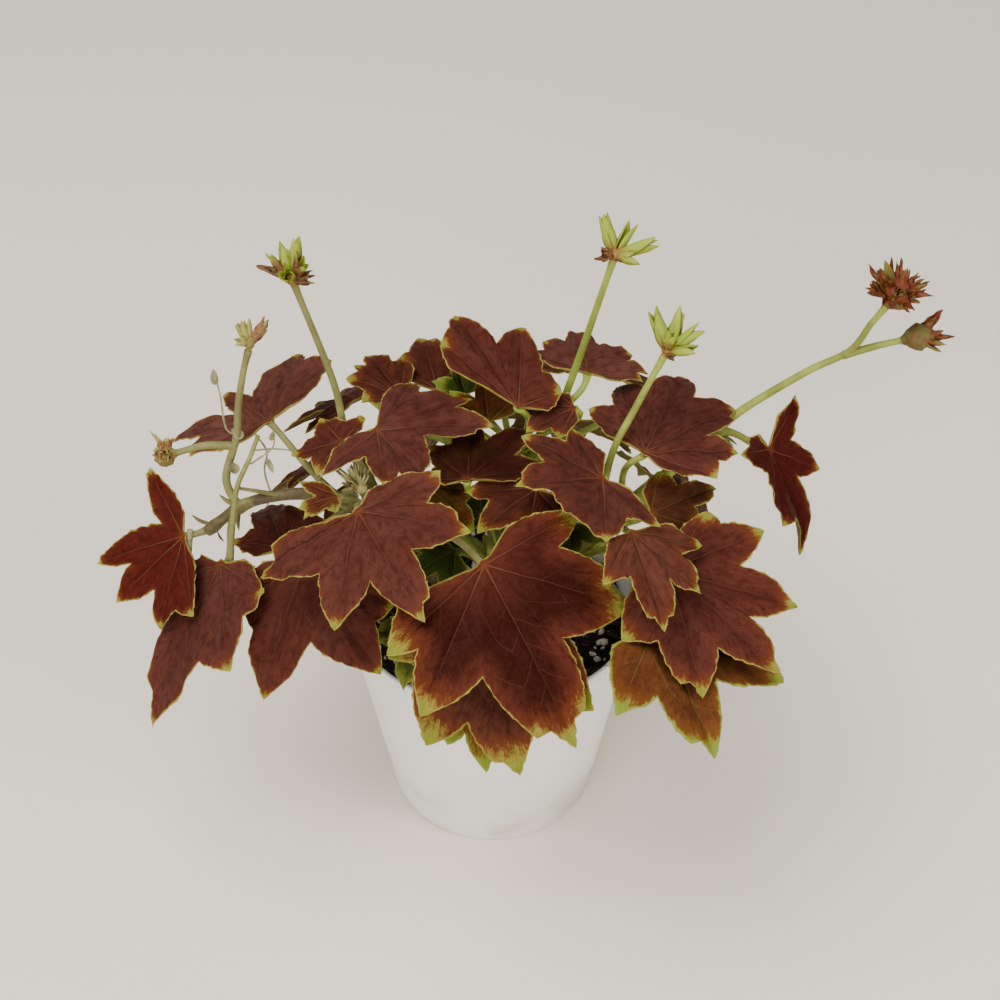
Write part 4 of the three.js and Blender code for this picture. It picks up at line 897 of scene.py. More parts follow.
# The veins: a midrib that thins to the tip, side veins, and a net between them.
s, d = put(tree, "SeparateXYZ", [put(tree, "UVMap", uv_map="along").outputs[0]]).outputs[:2]
drift = noise(tree, place, LEAF_SKIN["wander"], 2.0)
wobble = times(tree, calc(tree, "SUBTRACT", drift, 0.5), VEINS["wander"])
off = calc(tree, "ABSOLUTE", calc(tree, "ADD", d, times(tree, wobble, 0.25)))
midrib_width = fade(tree, s, 0.0, VEINS["midrib_run"], VEINS["midrib_foot"], VEINS["midrib_tip"])
midrib = times(tree, fade(tree, calc(tree, "DIVIDE", off, midrib_width), 0.4, 1.7, 1.0, 0.0),
               fade(tree, tip, 1.0, 9.0, 0.25, 1.0))
shift = times(tree, calc(tree, "GREATER_THAN", d, 0.0), VEINS["step"] / 2)
curve = calc(tree, "SUBTRACT", times(tree, off, VEINS["lead"]),
             times(tree, off, off, VEINS["arch"]))
ahead = calc(tree, "ADD", calc(tree, "ADD", s, shift), times(tree, wobble, VEINS["wander"]))
slant = calc(tree, "SUBTRACT", ahead, curve)
beat = calc(tree, "FRACT", calc(tree, "DIVIDE", slant, VEINS["step"]))
gap = times(tree, calc(tree, "ABSOLUTE", calc(tree, "SUBTRACT", beat, 0.5)), VEINS["step"])
side_vein = times(tree, fade(tree, gap, 0.05, VEINS["width"], 1.0, 0.0),
                  fade(tree, s, 8.0, 15.0), fade(tree, edge, 1.0, 5.0, 0.0, 1.0),
                  fade(tree, cloud, 0.35, 0.6, 0.3, 1.0))
cells = put(tree, "TexVoronoi", {"Vector": place, "Scale": LEAF_SKIN["net"]},
            feature="DISTANCE_TO_EDGE").outputs[0]
net = fade(tree, cells, 0.0, 0.14, 1.0, 0.0)
veins = calc(tree, "MAXIMUM", midrib, times(tree, side_vein, VEINS["side_share"]))

# The blade inside its margin: a dark heart, partly its own zone and partly painted shade, warm and
# olive patches, a painted sky reflection that turns to a deeper wine red on leaves facing away
# from the sky, fine dark streaks and flecks that partly paint shade in the quilting, and painted
# shade.
# The dark heart: partly the leaf's own zone, partly painted shade on leaves that lean or lie in
# shadow.
heart_edge = fade(tree, calc(tree, "ADD", edge, times(tree, streak, 5.0)), 3.0, 11.0)
heart = times(tree, heart_edge, fade(tree, dark, 0.0, 1.0, 0.05, 1.0),
              fade(tree, far, 4.0, 20.0, 0.35, 1.0))
colour = mix(tree, heart, start["Blade"], start["Heart"])
near_edge = fade(tree, jitter(tree, edge, streak, 9.0), 0.0, 9.0, 1.0, 0.3)
colour = mix(tree, times(tree, orange, near_edge, 0.8), colour, start["Flush"])
patches = jitter(tree, fade(tree, cloud, 0.38, 0.66), streak, 0.8)
colour = mix(tree, times(tree, olive, patches, 0.8), colour, start["Olive"])
# Painted reflection: soft patches of violet sheen where the sky would reflect on an upward leaf.
# Below zero the share paints a deeper wine red on a leaf that faces away from the sky.
painted_reflection_patches = times(tree, painted_reflection, fade(tree, cloud, 0.3, 0.7, 0.35, 0.7))
colour = mix(tree, painted_reflection_patches, colour, paint(LEAF_TINTS["painted_reflection"]))
colour = mix(tree, times(tree, painted_reflection, -1.0), colour, paint(LEAF_TINTS["wine"]))
# Fine dark streaks along the pleats and flecks: a velvet grain that also paints shade in the
# quilting.
pleats = vector(tree, times(tree, s, 0.22), times(tree, d, 0.9), times(tree, seed, 20.0))
pleat = noise(tree, pleats, 1.0, 5.0)
colour = mix(tree, fade(tree, pleat, 0.4, 0.7, 0.0, 0.4), colour, start["Heart"])
colour = mix(tree, fade(tree, fleck, 0.46, 0.7, 0.0, 0.35), colour, start["Heart"])
colour = mix(tree, times(tree, net, 0.05), colour, start["Vein"])
colour = mix(tree, times(tree, veins, 0.45), colour, start["Vein"])
star = times(tree, midrib, fade(tree, far, 1.5, 14.0, 0.4, 0.0),
             fade(tree, fleck, 0.3, 0.6, 0.5, 1.0))
colour = mix(tree, star, colour, paint(LEAF_TINTS["star"]))
# Painted shade: a leaf that lies in shadow is darkened toward near-black by its share.
colour = mix(tree, times(tree, shade, 0.8), colour, paint(LEAF_TINTS["shade"]))

# The margin: from the blade through a warm flush and gold to lime, far in at the tips and
# a thin line along the sides, with a pale rim, and a small flush round the hub.
grains = vector(tree, times(tree, s, 0.9), times(tree, d, 2.6), times(tree, seed, 20.0))
grain = noise(tree, grains, 1.0, 5.0)
band = jitter(tree, jitter(tree, calc(tree, "DIVIDE", tip, reach), streak, 1.0), grain, 1.0)
band = jitter(tree, band, fleck, 0.5)
rim_width = times(tree, side_width, fade(tree, streak, 0.35, 0.65, 0.45, 1.5))
rim_line = calc(tree, "DIVIDE", jitter(tree, edge, fleck, 0.3), rim_width)
colour = mix(tree, fade(tree, rim_line, 1.0, 5.0, 0.5, 0.0), colour, start["Flush"])
colour = mix(tree, fade(tree, band, 0.75, 1.8, 0.8, 0.0), colour, start["Flush"])
colour = mix(tree, fade(tree, band, 0.35, 1.05, 0.85, 0.0), colour, start["Gold"])
colour = mix(tree, fade(tree, band, 0.05, 0.75, 0.9, 0.0), colour, start["Margin"])
colour = mix(tree, fade(tree, rim_line, 0.5, 1.5, 0.85, 0.0), colour, start["Gold"])
hub_flush = fade(tree, jitter(tree, far, streak, 1.2), 0.8, 2.6, 0.5, 0.0)
colour = mix(tree, hub_flush, colour, start["Flush"])
cream = mix(tree, 0.4, start["Gold"], paint(LEAF_TINTS["cream"]))
colour = mix(tree, fade(tree, edge, 0.05, 0.2, 0.7, 0.0), colour, cream)

# The underside: dull green brown with proud pale veins. The relief is turned over there.
below = mix(tree, times(tree, veins, 0.6), start["Under"], cream)
below = mix(tree, fade(tree, streak, 0.35, 0.65, 0.0, 0.4), below, start["Blade"])
colour = mix(tree, times(tree, under, fade(tree, edge, 0.0, 0.5)), colour, below)
low = calc(tree, "ADD", times(tree, veins, 0.5), times(tree, net, 0.08))
rough = calc(tree, "SUBTRACT", times(tree, fleck, 0.35), low)
sign = calc(tree, "SUBTRACT", 1.0, times(tree, under, 2.0))
end_group(tree, end, colour, fade(tree, fleck, 0.3, 0.7, *LEAF_SKIN["roughness"]),
          times(tree, rough, sign))

leaf_paint = {}
for tone, colours in LEAF_COLOURS.items():
    leaf_paint[tone], shader = grouped_material(
        tone + " leaf skin", leaf_group, colours, LEAF_SKIN["gloss"], LEAF_SKIN["relief"])
    shader.inputs["Sheen Weight"].default_value = LEAF_SKIN["sheen"]
    shader.inputs["Sheen Roughness"].default_value = LEAF_SKIN["sheen_spread"]
    shader.inputs["Sheen Tint"].default_value = paint(LEAF_TINTS["sheen"])

rims, outwards = [], []
for number, (name, tone, stem, at, hub, turn, size, *shape) in enumerate(LEAVES, 1):
    extra = shape.pop() if isinstance(shape[-1], dict) else {}
    lobes, lows = shape_of(shape, number)
    blade = leaf_blade(lobes, lows, number, size, extra.get("fold", BEND["fold"]))
    points = blade["points"] @ leaf_frame(*turn) + hub
    leaf = make_object("blade_" + name, points, blade["faces"])
    set_map(leaf, blade["map"])
    set_values(leaf, "zone", blade["zone"])
    set_values(leaf, "fan", blade["fan"])
    skin = SKIN_OF.get(name, SKIN[tone])
    every = (len(points), 1)
    set_values(leaf, "lime", np.tile([*skin[:2], draw(number, 8)], every))
    set_values(leaf, "tone", np.tile(skin[2:5], every))
    # Painted light for the skin: the sky reflection share and the painted shade share.
    set_values(leaf, "painted_light", np.tile([*skin[5:], 0], every))
    rims.append(points[blade["rim"]])
    outwards.append(points[blade["rim"]] - points[blade["inner"]])
    leaf.data.materials.append(leaf_paint[tone])
    if not extra.get("added"):
        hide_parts("leaf_" + name)
    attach(leaf, "root")

# The hairs along the margins: soft pale hairs that grow out of every rim and spray a little.
# Each is a thin closed spike with its root sunk in the blade, and all of them are one mesh.
FRINGE = {"share": 1.5, "length": (0.35, 0.85), "thick": 0.035, "spray": 0.35, "sunk": 0.1}
HAIR = {"pale": "#a08c62", "dull": "#8a7a4c", "tint": 500.0, "grain": 900.0, "roughness": 0.5,
        "gloss": 0.2, "relief": 0.0001}


def unit(ways):
    """Directions as rows of length one."""
    return ways / np.linalg.norm(ways, axis=-1, keepdims=True)


def hairs(name, roots, ways, lengths, thick):
    """Fine hairs: each is a closed three-sided spike from its root along its way to a point."""
    ways = unit(ways)
    side = unit(np.cross(ways, [0.3, 0.5, 0.81]))
    turn = circle(3)[:, :, None]
    ring = turn[:, 0] * side[:, None] + turn[:, 1] * np.cross(ways, side)[:, None]
    tips = roots + ways * lengths[:, None]
    points = np.concatenate([roots[:, None] + thick * ring, tips[:, None]], axis=1)
    spike = np.array([[0, 1, 3], [1, 2, 3], [2, 0, 3], [0, 2, 1]])
    faces = (spike[None] + 4 * np.arange(len(roots))[:, None, None]).reshape(-1, 3)
    return make_object(name, points.reshape(-1, 3), [faces])


rng = np.random.default_rng(11)
rims = np.concatenate(rims)
outwards = unit(np.concatenate(outwards))
pick = rng.integers(0, len(rims), int(len(rims) * FRINGE["share"]))
spray = outwards[pick] + FRINGE["spray"] * rng.normal(size=(len(pick), 3))
roots = rims[pick] - FRINGE["sunk"] * outwards[pick]
lengths = rng.uniform(*FRINGE["length"], len(pick))
fringe = hairs("margin_hairs", roots, spray, lengths, FRINGE["thick"])
hair_paint, tree, shader = new_material("pale plant hair")
place = put(tree, "TexCoord").outputs["Object"]
tint = fade(tree, noise(tree, place, HAIR["tint"]), 0.4, 0.6)
colour = mix(tree, tint, paint(HAIR["pale"]), paint(HAIR["dull"]))
finish_material(tree, shader, colour, HAIR["roughness"], HAIR["gloss"],
                noise(tree, place, HAIR["grain"]), HAIR["relief"])
fringe.data.materials.append(hair_paint)
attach(fringe, "root")

# The shoots: four soft green stems, with a long stalk to every leaf and thinner ones to the
# flower heads. They grow as one piece, swollen where a stalk leaves, with paired scale-like
# stipules there, and the left one has gone woody and brown.
STEM = {"root": 3.1, "tip": 1.65, "sides": 18, "step": 1.2, "node": 0.28, "node_length": 2.6,
        "slimmer": 0.1, "knuckle_length": 2.0}
PETIOLE = {"root": 1.4, "tip": 1.1, "sides": 12, "step": 1.5, "along": 0.3, "toward": 0.1,
           "below": 0.12, "behind": 0.26, "blade": 1.1, "reach": 0.75, "slimmer": 0.12,
           "foot": 0.5, "foot_length": 3.0, "flare": 0.55, "flare_length": 1.3,
           "knuckle": 0.8, "knuckle_length": 1.6}
STALK = {"root": 1.35, "tip": 0.95, "sides": 12, "step": 1.3, "swelling": 0.25,
         "swelling_share": 0.05}
STEMS = {
    "centre": [(3, -6, 52), (3, -6, 66), (3, -6, 80), (2, -12, 100), (0, -18, 122)],
    "left": [(-14, 2, 52), (-14, 2, 76), (-18, 2, 90), (-28, 1, 108), (-42, -2, 124),
             (-57, -4, 131), (-74, -5, 128), (-87, -8, 119)],
    "right": [(20, 3, 52), (20, 3, 76), (24, 3, 90), (32, 2, 104), (44, 4, 118), (58, 8, 134),
              (70, 11, 144)],
    "back": [(3, 20, 52), (3, 20, 66), (3, 20, 80), (5, 22, 104), (8, 18, 132)],
}
# A flower stalk: its name, its shoot, what it leaves and where along it, and its points.
STALKS = [
    ("back_left", "left", "left", 0.52, [(-44, 13, 137), (-48, 19, 156), (-58, 25, 188)]),
    ("back_right", "back", "back", 0.9, [(19, 18, 142), (24, 18.5, 157), (35, 17, 203)]),
    ("middle", "right", "right", 0.5, [(35, -7, 147), (42, -2, 163), (50, 3, 179)]),
    ("far_right", "right", "right", 0.97,
     [(76, 14, 149), (94, 15, 163), (106, 15, 171), (111, 15, 181), (115, 15, 188)]),
    ("far_right_side", "right", "far_right", 0.68, [(114, 15, 173), (121, 15, 175)]),
    ("left_old", "left", "left", 0.9,
     [(-80, -3, 136), (-76, 0, 150), (-75, 4, 159), (-73, 7, 169), (-71, 9, 176)]),
    ("left_bud", "left", "left_old", 0.42, [(-86, 1, 146), (-95, 1, 143)]),
    ("young", "left", "left", 0.47, [(-43, -8, 134), (-40, -11, 139)]),
]
# Old green stalks that cross the left branch: their points and radii at both ends.
LEFT_STALKS = [
    ([(-70, 3, 148), (-72, -5, 146), (-76, -9, 138), (-78, -14, 126), (-79, -18, 116)], 0.7, 1.0),
    ([(-76, -8, 137), (-71, -6, 134), (-63, -5, 131)], 0.5, 0.8),
]
STIPULE = {"length": 6.0, "width": 3.4, "least": 0.6, "vary": 0.5, "bend": -0.5, "cup": 0.3,
           "widest": 0.3, "from_middle": 1.9, "lean": 0.7, "knuckle": 0.35}
PETAL = {"rows": 9, "sides": 10, "power": 0.75, "thick": 0.3}
SHOOT_COLOURS = {
    "centre": {"Light": "#94a042", "Deep": "#78822e", "Node": "#6a5a30", "Woody": 0.35},
    "left": {"Light": "#858248", "Deep": "#6b6736", "Node": "#6a5a30", "Woody": 0.9},
    "right": {"Light": "#949c3c", "Deep": "#787c2e", "Node": "#6a5a30", "Woody": 0.35},
    "back": {"Light": "#96a43e", "Deep": "#7a882e", "Node": "#6a5a30", "Woody": 0.35},
}
SHOOT_SKIN = {"cloud": 90.0, "fleck": 650.0, "fibre": 1100.0, "fibre_length": 0.12,
              "bark": "#4a3a20", "roughness": (0.42, 0.66), "gloss": 0.3, "relief": 0.0004}


def run_along(path):
    """How far along a path each of its points lies: the sum of the steps so far."""
    return np.concatenate([[0], np.cumsum(np.linalg.norm(np.diff(path, axis=0), axis=1))])


def smooth_curve(points, pieces=40):
    """A curve through the points, each stretch the cubic of its two ends and their neighbours,
    with half the chord between the neighbours as slope. Gives many points and the way to each."""
    points = np.array(points, dtype=float)
    ends = [2 * points[:1] - points[1:2], points, 2 * points[-1:] - points[-2:-1]]
    a, b, c, d = [np.concatenate(ends)[k:len(points) - 1 + k, None] for k in range(4)]
    t = np.linspace(0, 1, pieces, endpoint=False)[None, :, None]
    path = 2 * b + (c - a) * t + (2 * a - 5 * b + 4 * c - d) * t**2
    path = path + (3 * b - a - 3 * c + d) * t**3
    path = np.concatenate([path.reshape(-1, 3) / 2, points[-1:]])
    return path, run_along(path)


def on_curve(curve, share):
    """Points and directions at shares of a curve's length, where a direction runs from half a
    millimetre behind the point to half a millimetre ahead."""
    path, way = curve
    here = np.atleast_1d(share) * way[-1]
    behind, point, ahead = [
        np.stack([np.interp(here + move, way, path[:, k]) for k in range(3)], axis=-1)
        for move in (-0.5, 0.0, 0.5)]
    return point, unit(ahead - behind)


def tube(curve, radius_at, sides, step, last=None):
    """A closed round tube: rings of points at even steps of the curve, each standing across it on
    the direction that the curve turns least towards. radius_at gives a ring's radius at a share
    of the length, and the last ring may lie flat against a given direction."""
    rings = max(4, int(np.ceil(curve[1][-1] / step)) + 1)
    share = np.linspace(0, 1, rings)
    centre, along = on_curve(curve, share)
    least = np.linalg.svd(along)[2][2]
    if last is not None:
        along[-1] = last
    across = unit(least - along * (along @ least)[:, None])
    turn = circle(sides)[:, :, None]
    ring = turn[:, 0] * across[:, None] + turn[:, 1] * np.cross(along, across)[:, None]
    points = centre[:, None] + ring * radius_at(share)[:, None, None]
    points = np.concatenate([points.reshape(-1, 3), centre[:1], centre[-1:]])
    facts = np.zeros((len(points), 3))
    facts[:, 0] = np.append(np.repeat(share, sides), [0, 1])
    return points, closed_faces(rings, sides), facts


def joined(parts):
    """Several (points, faces, facts) as one, with the faces' numbers moved on."""
    points, blocks, facts, count = [], [], [], 0
    for part_points, part_faces, part_facts in parts:
        points.append(part_points)
        blocks += [face + count for face in part_faces]
        facts.append(part_facts)
        count += len(part_points)
    return np.concatenate(points), blocks, np.concatenate(facts)


def petals(places, frames, lengths, widths, thick, cup, bend, widest):
    """Pointed blades, all at once. Row t along a blade runs on an arc that turns by bend from its
    root to its tip. Its half-width rises and falls as t^p (1 - t)^q, widest at a given share, and
    its section is a lens, thick in the middle and cupped up at the sides as the square of x. Its
    frame's rows are across, up and out. Gives points, faces, and (t, place across, seed)."""
    number = len(places)
    rows, sides = PETAL["rows"], PETAL["sides"]
    t = (1 - np.cos(np.linspace(0, np.pi, rows + 2)[1:-1])) / 2
    p, q = PETAL["power"] * widest / (1 - widest), PETAL["power"]
    broad = t**p * (1 - t) ** q / (widest**p * (1 - widest) ** q)
    across, over = circle(sides).T
    every = (bend, cup, widths, lengths)
    bend, cup, widths, lengths = [
        np.broadcast_to(values, number).astype(float) for values in every]
    turn = bend[:, None] * t
    safe = np.where(np.abs(bend) < 1e-3, 1e-3, bend)[:, None]
    spine_out = lengths[:, None] * np.sin(safe * t) / safe
    spine_up = lengths[:, None] * (1 - np.cos(safe * t)) / safe
    half = widths[:, None] / 2 * broad
    x = half[..., None] * across
    lift = cup[:, None, None] * half[..., None] * across**2
    lift = lift + thick / 2 * over * np.minimum(1, broad * 1.5)[None, :, None]
    out = spine_out[..., None] - lift * np.sin(turn)[..., None]
    up = spine_up[..., None] + lift * np.cos(turn)[..., None]
    body = np.stack([x, up, out], axis=-1).reshape(number, -1, 3)
    ends = np.zeros((number, 2, 3))
    ends[:, 1, 1] = lengths * (1 - np.cos(safe[:, 0])) / safe[:, 0]
    ends[:, 1, 2] = lengths * np.sin(safe[:, 0]) / safe[:, 0]
    points = np.concatenate([body, ends], axis=1) @ frames + np.asarray(places)[:, None]
    each = rows * sides + 2
    move = (np.arange(number) * each)[:, None, None]
    faces = [(block + move).reshape(-1, block.shape[1]) for block in closed_faces(rows, sides)]
    along = np.append(np.repeat(t, sides), [0, 1])
    across = np.append(np.tile(across, rows), [0, 0])
    seed = np.repeat(draw(np.arange(number) + 1, 4), each)
    facts = np.column_stack([np.tile(along, number), np.tile(across, number), seed])
    return points.reshape(-1, 3), faces, facts


def facing(out, up):
    """Frames whose third row is out and whose second row is up made square to it."""
    out = unit(out)
    side = np.cross(up, out)
    side /= np.maximum(np.linalg.norm(side, axis=-1, keepdims=True), 1e-6)
    return np.stack([side, np.cross(out, side), out], axis=-2)


# A leaf stalk runs from its place on the stem to its blade's hub as a cubic of four points. The
# first inner point lies a little along the stem and toward the hub, the second one below and
# behind the hub, and a bow moves both. It ends just under the blade's face.
curves = {name: smooth_curve(path) for name, path in STEMS.items()}
leaving = {name: [] for name in STEMS}
petioles = []
for name, tone, stem, share, hub, turn, size, *shape in LEAVES:
    forward, left, up = leaf_frame(*turn)
    extra = shape[-1] if isinstance(shape[-1], dict) else {}
    bow = np.array(extra.get("bow", (0, 0, 0)))
    base, stem_way = [rows[0] for rows in on_curve(curves[stem], share)]
    end_point = np.array(hub) - PETIOLE["blade"] * up
    reach = np.linalg.norm(end_point - base)
    first = base + PETIOLE["toward"] * (end_point - base) + PETIOLE["along"] * reach * stem_way
    first += bow
    level = forward * [1, 1, 0] / np.hypot(forward[0], forward[1])
    second = end_point - PETIOLE["below"] * reach * up + bow - PETIOLE["behind"] * reach * level
    t = np.linspace(0, 1, 60)[:, None]
    path = (1 - t) ** 3 * base + 3 * (1 - t) ** 2 * t * first
    path += 3 * (1 - t) * t**2 * second + t**3 * end_point
    path = np.concatenate([path, [np.array(hub) - PETIOLE["reach"] * up]])
    petioles.append((stem, (path, run_along(path)), up))
    leaving[stem].append(share)
for name, shoot, on, share, path in STALKS:
    curves[name] = smooth_curve([on_curve(curves[on], share)[0][0], *path])
    if on in leaving:
        leaving[on].append(share)


def stem_radius(name):
    """A stem's radius at a share: an even taper with a bell-shaped swelling at each leaf stalk."""
    length = curves[name][1][-1]
    nodes = np.array(leaving[name])

    def radius_at(share):
        off = (share[:, None] - nodes) * length / STEM["node_length"]
        swell = np.exp(-(off**2)).max(axis=1)
        taper = STEM["root"] + (STEM["tip"] - STEM["root"]) * share
        return taper * (1 + STEM["node"] * swell) - STEM["slimmer"]
    return radius_at


def petiole_radius(length):
    """A leaf stalk's radius: a taper as share^0.6, with half a bell more at its foot and another
    where it flares under the blade."""
    def radius_at(share):
        foot = PETIOLE["foot"] * np.exp(-((share * length / PETIOLE["foot_length"]) ** 2))
        flare = (1 - share) * length / PETIOLE["flare_length"]
        flare = PETIOLE["flare"] * np.exp(-(flare**2))
        taper = PETIOLE["root"] + (PETIOLE["tip"] - PETIOLE["root"]) * share**0.6
        return taper - PETIOLE["slimmer"] + foot + flare
    return radius_at


def stalk_radius(share):
    """A flower stalk's radius: an even taper with a slight bell-shaped swelling at the head."""
    swelling = STALK["swelling"] * np.exp(-(((1 - share) / STALK["swelling_share"]) ** 2))
    return STALK["root"] + (STALK["tip"] - STALK["root"]) * share + swelling


def tapering(first, last):
    """A radius that goes evenly from first to last along a curve."""
    def radius_at(share):
        return first + (last - first) * share
    return radius_at


# Their skin: light and deep green in soft patches, fine upright fibres, brown at the knuckles
# where leaves leave, and grey-brown bark on a woody stem.
skin_group, start, end = add_group("stalk skin", ["Light", "Deep", "Node"], ["Woody"])
tree = skin_group
place = put(tree, "TexCoord").outputs["Object"]
knuckle, woody_part = read_values(tree, "facts")[1:]
cloud = noise(tree, place, SHOOT_SKIN["cloud"], 4.0)
fleck = noise(tree, place, SHOOT_SKIN["fleck"], 3.0)
stretch = (1.0, 1.0, SHOOT_SKIN["fibre_length"])
long_place = put(tree, "Mapping", {"Vector": place, "Scale": stretch}).outputs[0]
fibre = noise(tree, long_place, SHOOT_SKIN["fibre"], 3.0)
colour = mix(tree, fade(tree, cloud, 0.35, 0.65), start["Light"], start["Deep"])
colour = mix(tree, fade(tree, fibre, 0.45, 0.7, 0.0, 0.2), colour, start["Node"])
colour = mix(tree, fade(tree, knuckle, 0.15, 0.8, 0.0, 0.5), colour, start["Node"])
barky = fade(tree, jitter(tree, cloud, fleck, 0.4), 0.3, 0.65)
bark = times(tree, start["Woody"], woody_part, barky)
colour = mix(tree, bark, colour, paint(SHOOT_SKIN["bark"]))
end_group(tree, end, colour, fade(tree, fleck, 0.3, 0.7, *SHOOT_SKIN["roughness"]),
          calc(tree, "ADD", times(tree, fibre, 0.6), times(tree, fleck, 0.4)))

# Each shoot is joined from its stem, its flower stalks, its leaf stalks and a pair of stipules
# wherever a stalk leaves. The skin's facts are the share along, how near a knuckle, and 1 on
# the stem itself. Every live stalk is kept with its radius, for its hairs.
hairy = []
for shoot in STEMS:
    parts = []
    stem_length = curves[shoot][1][-1]
    for name, owner in [(shoot, shoot)] + [(row[0], row[1]) for row in STALKS]:
        if owner == shoot:
            kind = STEM if name == shoot else STALK
            radius_at = stem_radius(name) if name == shoot else stalk_radius
            points, faces, facts = tube(curves[name], radius_at, kind["sides"], kind["step"])
            if name == shoot:
                off = (facts[:, :1] - leaving[shoot]) * stem_length / STEM["knuckle_length"]
                facts[:, 1] = np.exp(-(off**2)).max(axis=1)
                facts[:, 2] = 1
            parts.append((points, faces, facts))
            hairy.append((curves[name], radius_at))
    for path, first, last in LEFT_STALKS if shoot == "left" else []:
        curve, radius_at = smooth_curve(path), tapering(first, last)
        parts.append(tube(curve, radius_at, STALK["sides"], STALK["step"]))
        hairy.append((curve, radius_at))
    for stem, curve, up in petioles:
        if stem == shoot:
            length = curve[1][-1]
            radius_at = petiole_radius(length)
            points, faces, facts = tube(curve, radius_at, PETIOLE["sides"], PETIOLE["step"], up)
            off = facts[:, 0] * length / PETIOLE["knuckle_length"]
            facts[:, 1] = np.exp(-(off**2)) * PETIOLE["knuckle"]
            parts.append((points, faces, facts))
            hairy.append((curve, radius_at))
    base, base_way = on_curve(curves[shoot], np.repeat(leaving[shoot], 2))
    number = np.arange(len(base))
    bearing = number * np.pi + draw(number, 5) * 2.0
    level = np.stack([np.cos(bearing), np.sin(bearing), np.zeros(len(base))], axis=-1)
    aside = np.cross(base_way, level)
    long = STIPULE["length"] * (STIPULE["least"] + STIPULE["vary"] * draw(number, 6))
    wide = STIPULE["width"] * (STIPULE["least"] + STIPULE["vary"] * draw(number, 7))
    turns = facing(base_way * STIPULE["lean"] + aside, base_way)
    points, faces, facts = petals(base + aside * STIPULE["from_middle"], turns, long, wide,
                                  PETAL["thick"], STIPULE["cup"], STIPULE["bend"],
                                  STIPULE["widest"])
    facts[:, 1] = STIPULE["knuckle"]
    parts.append((points, faces, facts))
    points, faces, facts = joined(parts)
    item = make_object("growth_" + shoot, points, faces)
    set_values(item, "facts", facts)
    material, shader = grouped_material(shoot + " shoot skin", skin_group, SHOOT_COLOURS[shoot],
                                        SHOOT_SKIN["gloss"], SHOOT_SKIN["relief"])
    item.data.materials.append(material)
    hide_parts("shoot_" + shoot)
    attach(item, "root")

# The dry growth on the left branch: withered leaf and flower stalks, thin as threads, and the
# papery bracts that stay on them. It hangs where it grew, and is one mesh of tubes and petals.
# A stalk: its points and its radii at both ends. A bract: its root, way, length and width.
DRY_STALKS = [
    ([(-92, -8, 120), (-93, -19, 106), (-90, -25, 97), (-86, -30, 86)], 1.0, 1.35),
    ([(-75, 2, 149), (-79, 2, 152), (-80, 4, 164), (-81, 4, 171)], 0.35, 0.25),
    ([(-71, 5, 147), (-68, 4, 141), (-69, 2, 135), (-67, -3, 130)], 0.35, 0.3),
    ([(-71, 0, 145), (-65, 4, 142), (-57, 7, 138)], 0.3, 0.2),
    ([(-72, -4, 143), (-66, 2, 144), (-65, 3, 149)], 0.3, 0.2),
]
DRY_BRACTS = [
    ((-81, 4, 167), (-0.1, 0.3, 1.0), 6.5, 2.4), ((-81, -24, 110), (0.9, -0.2, 0.3), 9.0, 5.0),
    ((-81, -24, 110), (0.2, -0.5, -0.6), 7.0, 4.2), ((-80, -23, 112), (0.5, 0.0, 0.8), 7.5, 4.5),
    ((-74, 0, 150), (-0.8, 0.2, 0.6), 5.0, 3.0), ((-68, 3, 139), (0.3, -0.2, -1.0), 5.0, 1.8),
    ((-76, -3, 139), (-0.6, -0.1, 0.8), 7.0, 3.0), ((-66, 2, 147), (0.2, 0.2, 1.0), 5.0, 1.8),
]
DRY = {"sides": 8, "step": 1.2, "up": (0.2, -0.7, 0.6), "thick": 0.2, "cup": 0.5, "bend": 0.7,
       "widest": 0.4, "straw": "#a3a27a", "dull": "#837a4c", "brown": "#5a4426", "cloud": 300.0,
       "fibre": 1300.0, "roughness": 0.7, "gloss": 0.2, "relief": 0.0003}

parts = [tube(smooth_curve(path), tapering(first, last), DRY["sides"], DRY["step"])
         for path, first, last in DRY_STALKS]
roots, ways, lengths, widths = [np.array(column, dtype=float) for column in zip(*DRY_BRACTS)]
turns = facing(ways, np.array(DRY["up"]))
parts.append(petals(roots, turns, lengths, widths, DRY["thick"], DRY["cup"], DRY["bend"],
                    DRY["widest"]))
points, faces, facts = joined(parts)
dry = make_object("dry_bracts", points, faces)
material, tree, shader = new_material("papery dry bracts")
place = put(tree, "TexCoord").outputs["Object"]
cloud = noise(tree, place, DRY["cloud"], 4.0)
fibre = noise(tree, place, DRY["fibre"], 3.0)
colour = mix(tree, fade(tree, cloud, 0.35, 0.65), paint(DRY["straw"]), paint(DRY["dull"]))
colour = mix(tree, fade(tree, fibre, 0.55, 0.75, 0.0, 0.5), colour, paint(DRY["brown"]))
creases = calc(tree, "ADD", cloud, times(tree, fibre, 0.5))
finish_material(tree, shader, colour, DRY["roughness"], DRY["gloss"], creases, DRY["relief"])
dry.data.materials.append(material)
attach(dry, "root")

# The hairs on the shoots: short pale hairs that stand out all round every live stem and stalk.
# They are closed spikes of the same hair as on the margins, sunk a little in the skin.
SHOOT_HAIRS = {"each_mm": 1.7, "length": (0.4, 1.1), "thick": 0.035, "sunk": 0.1, "spray": 0.35}

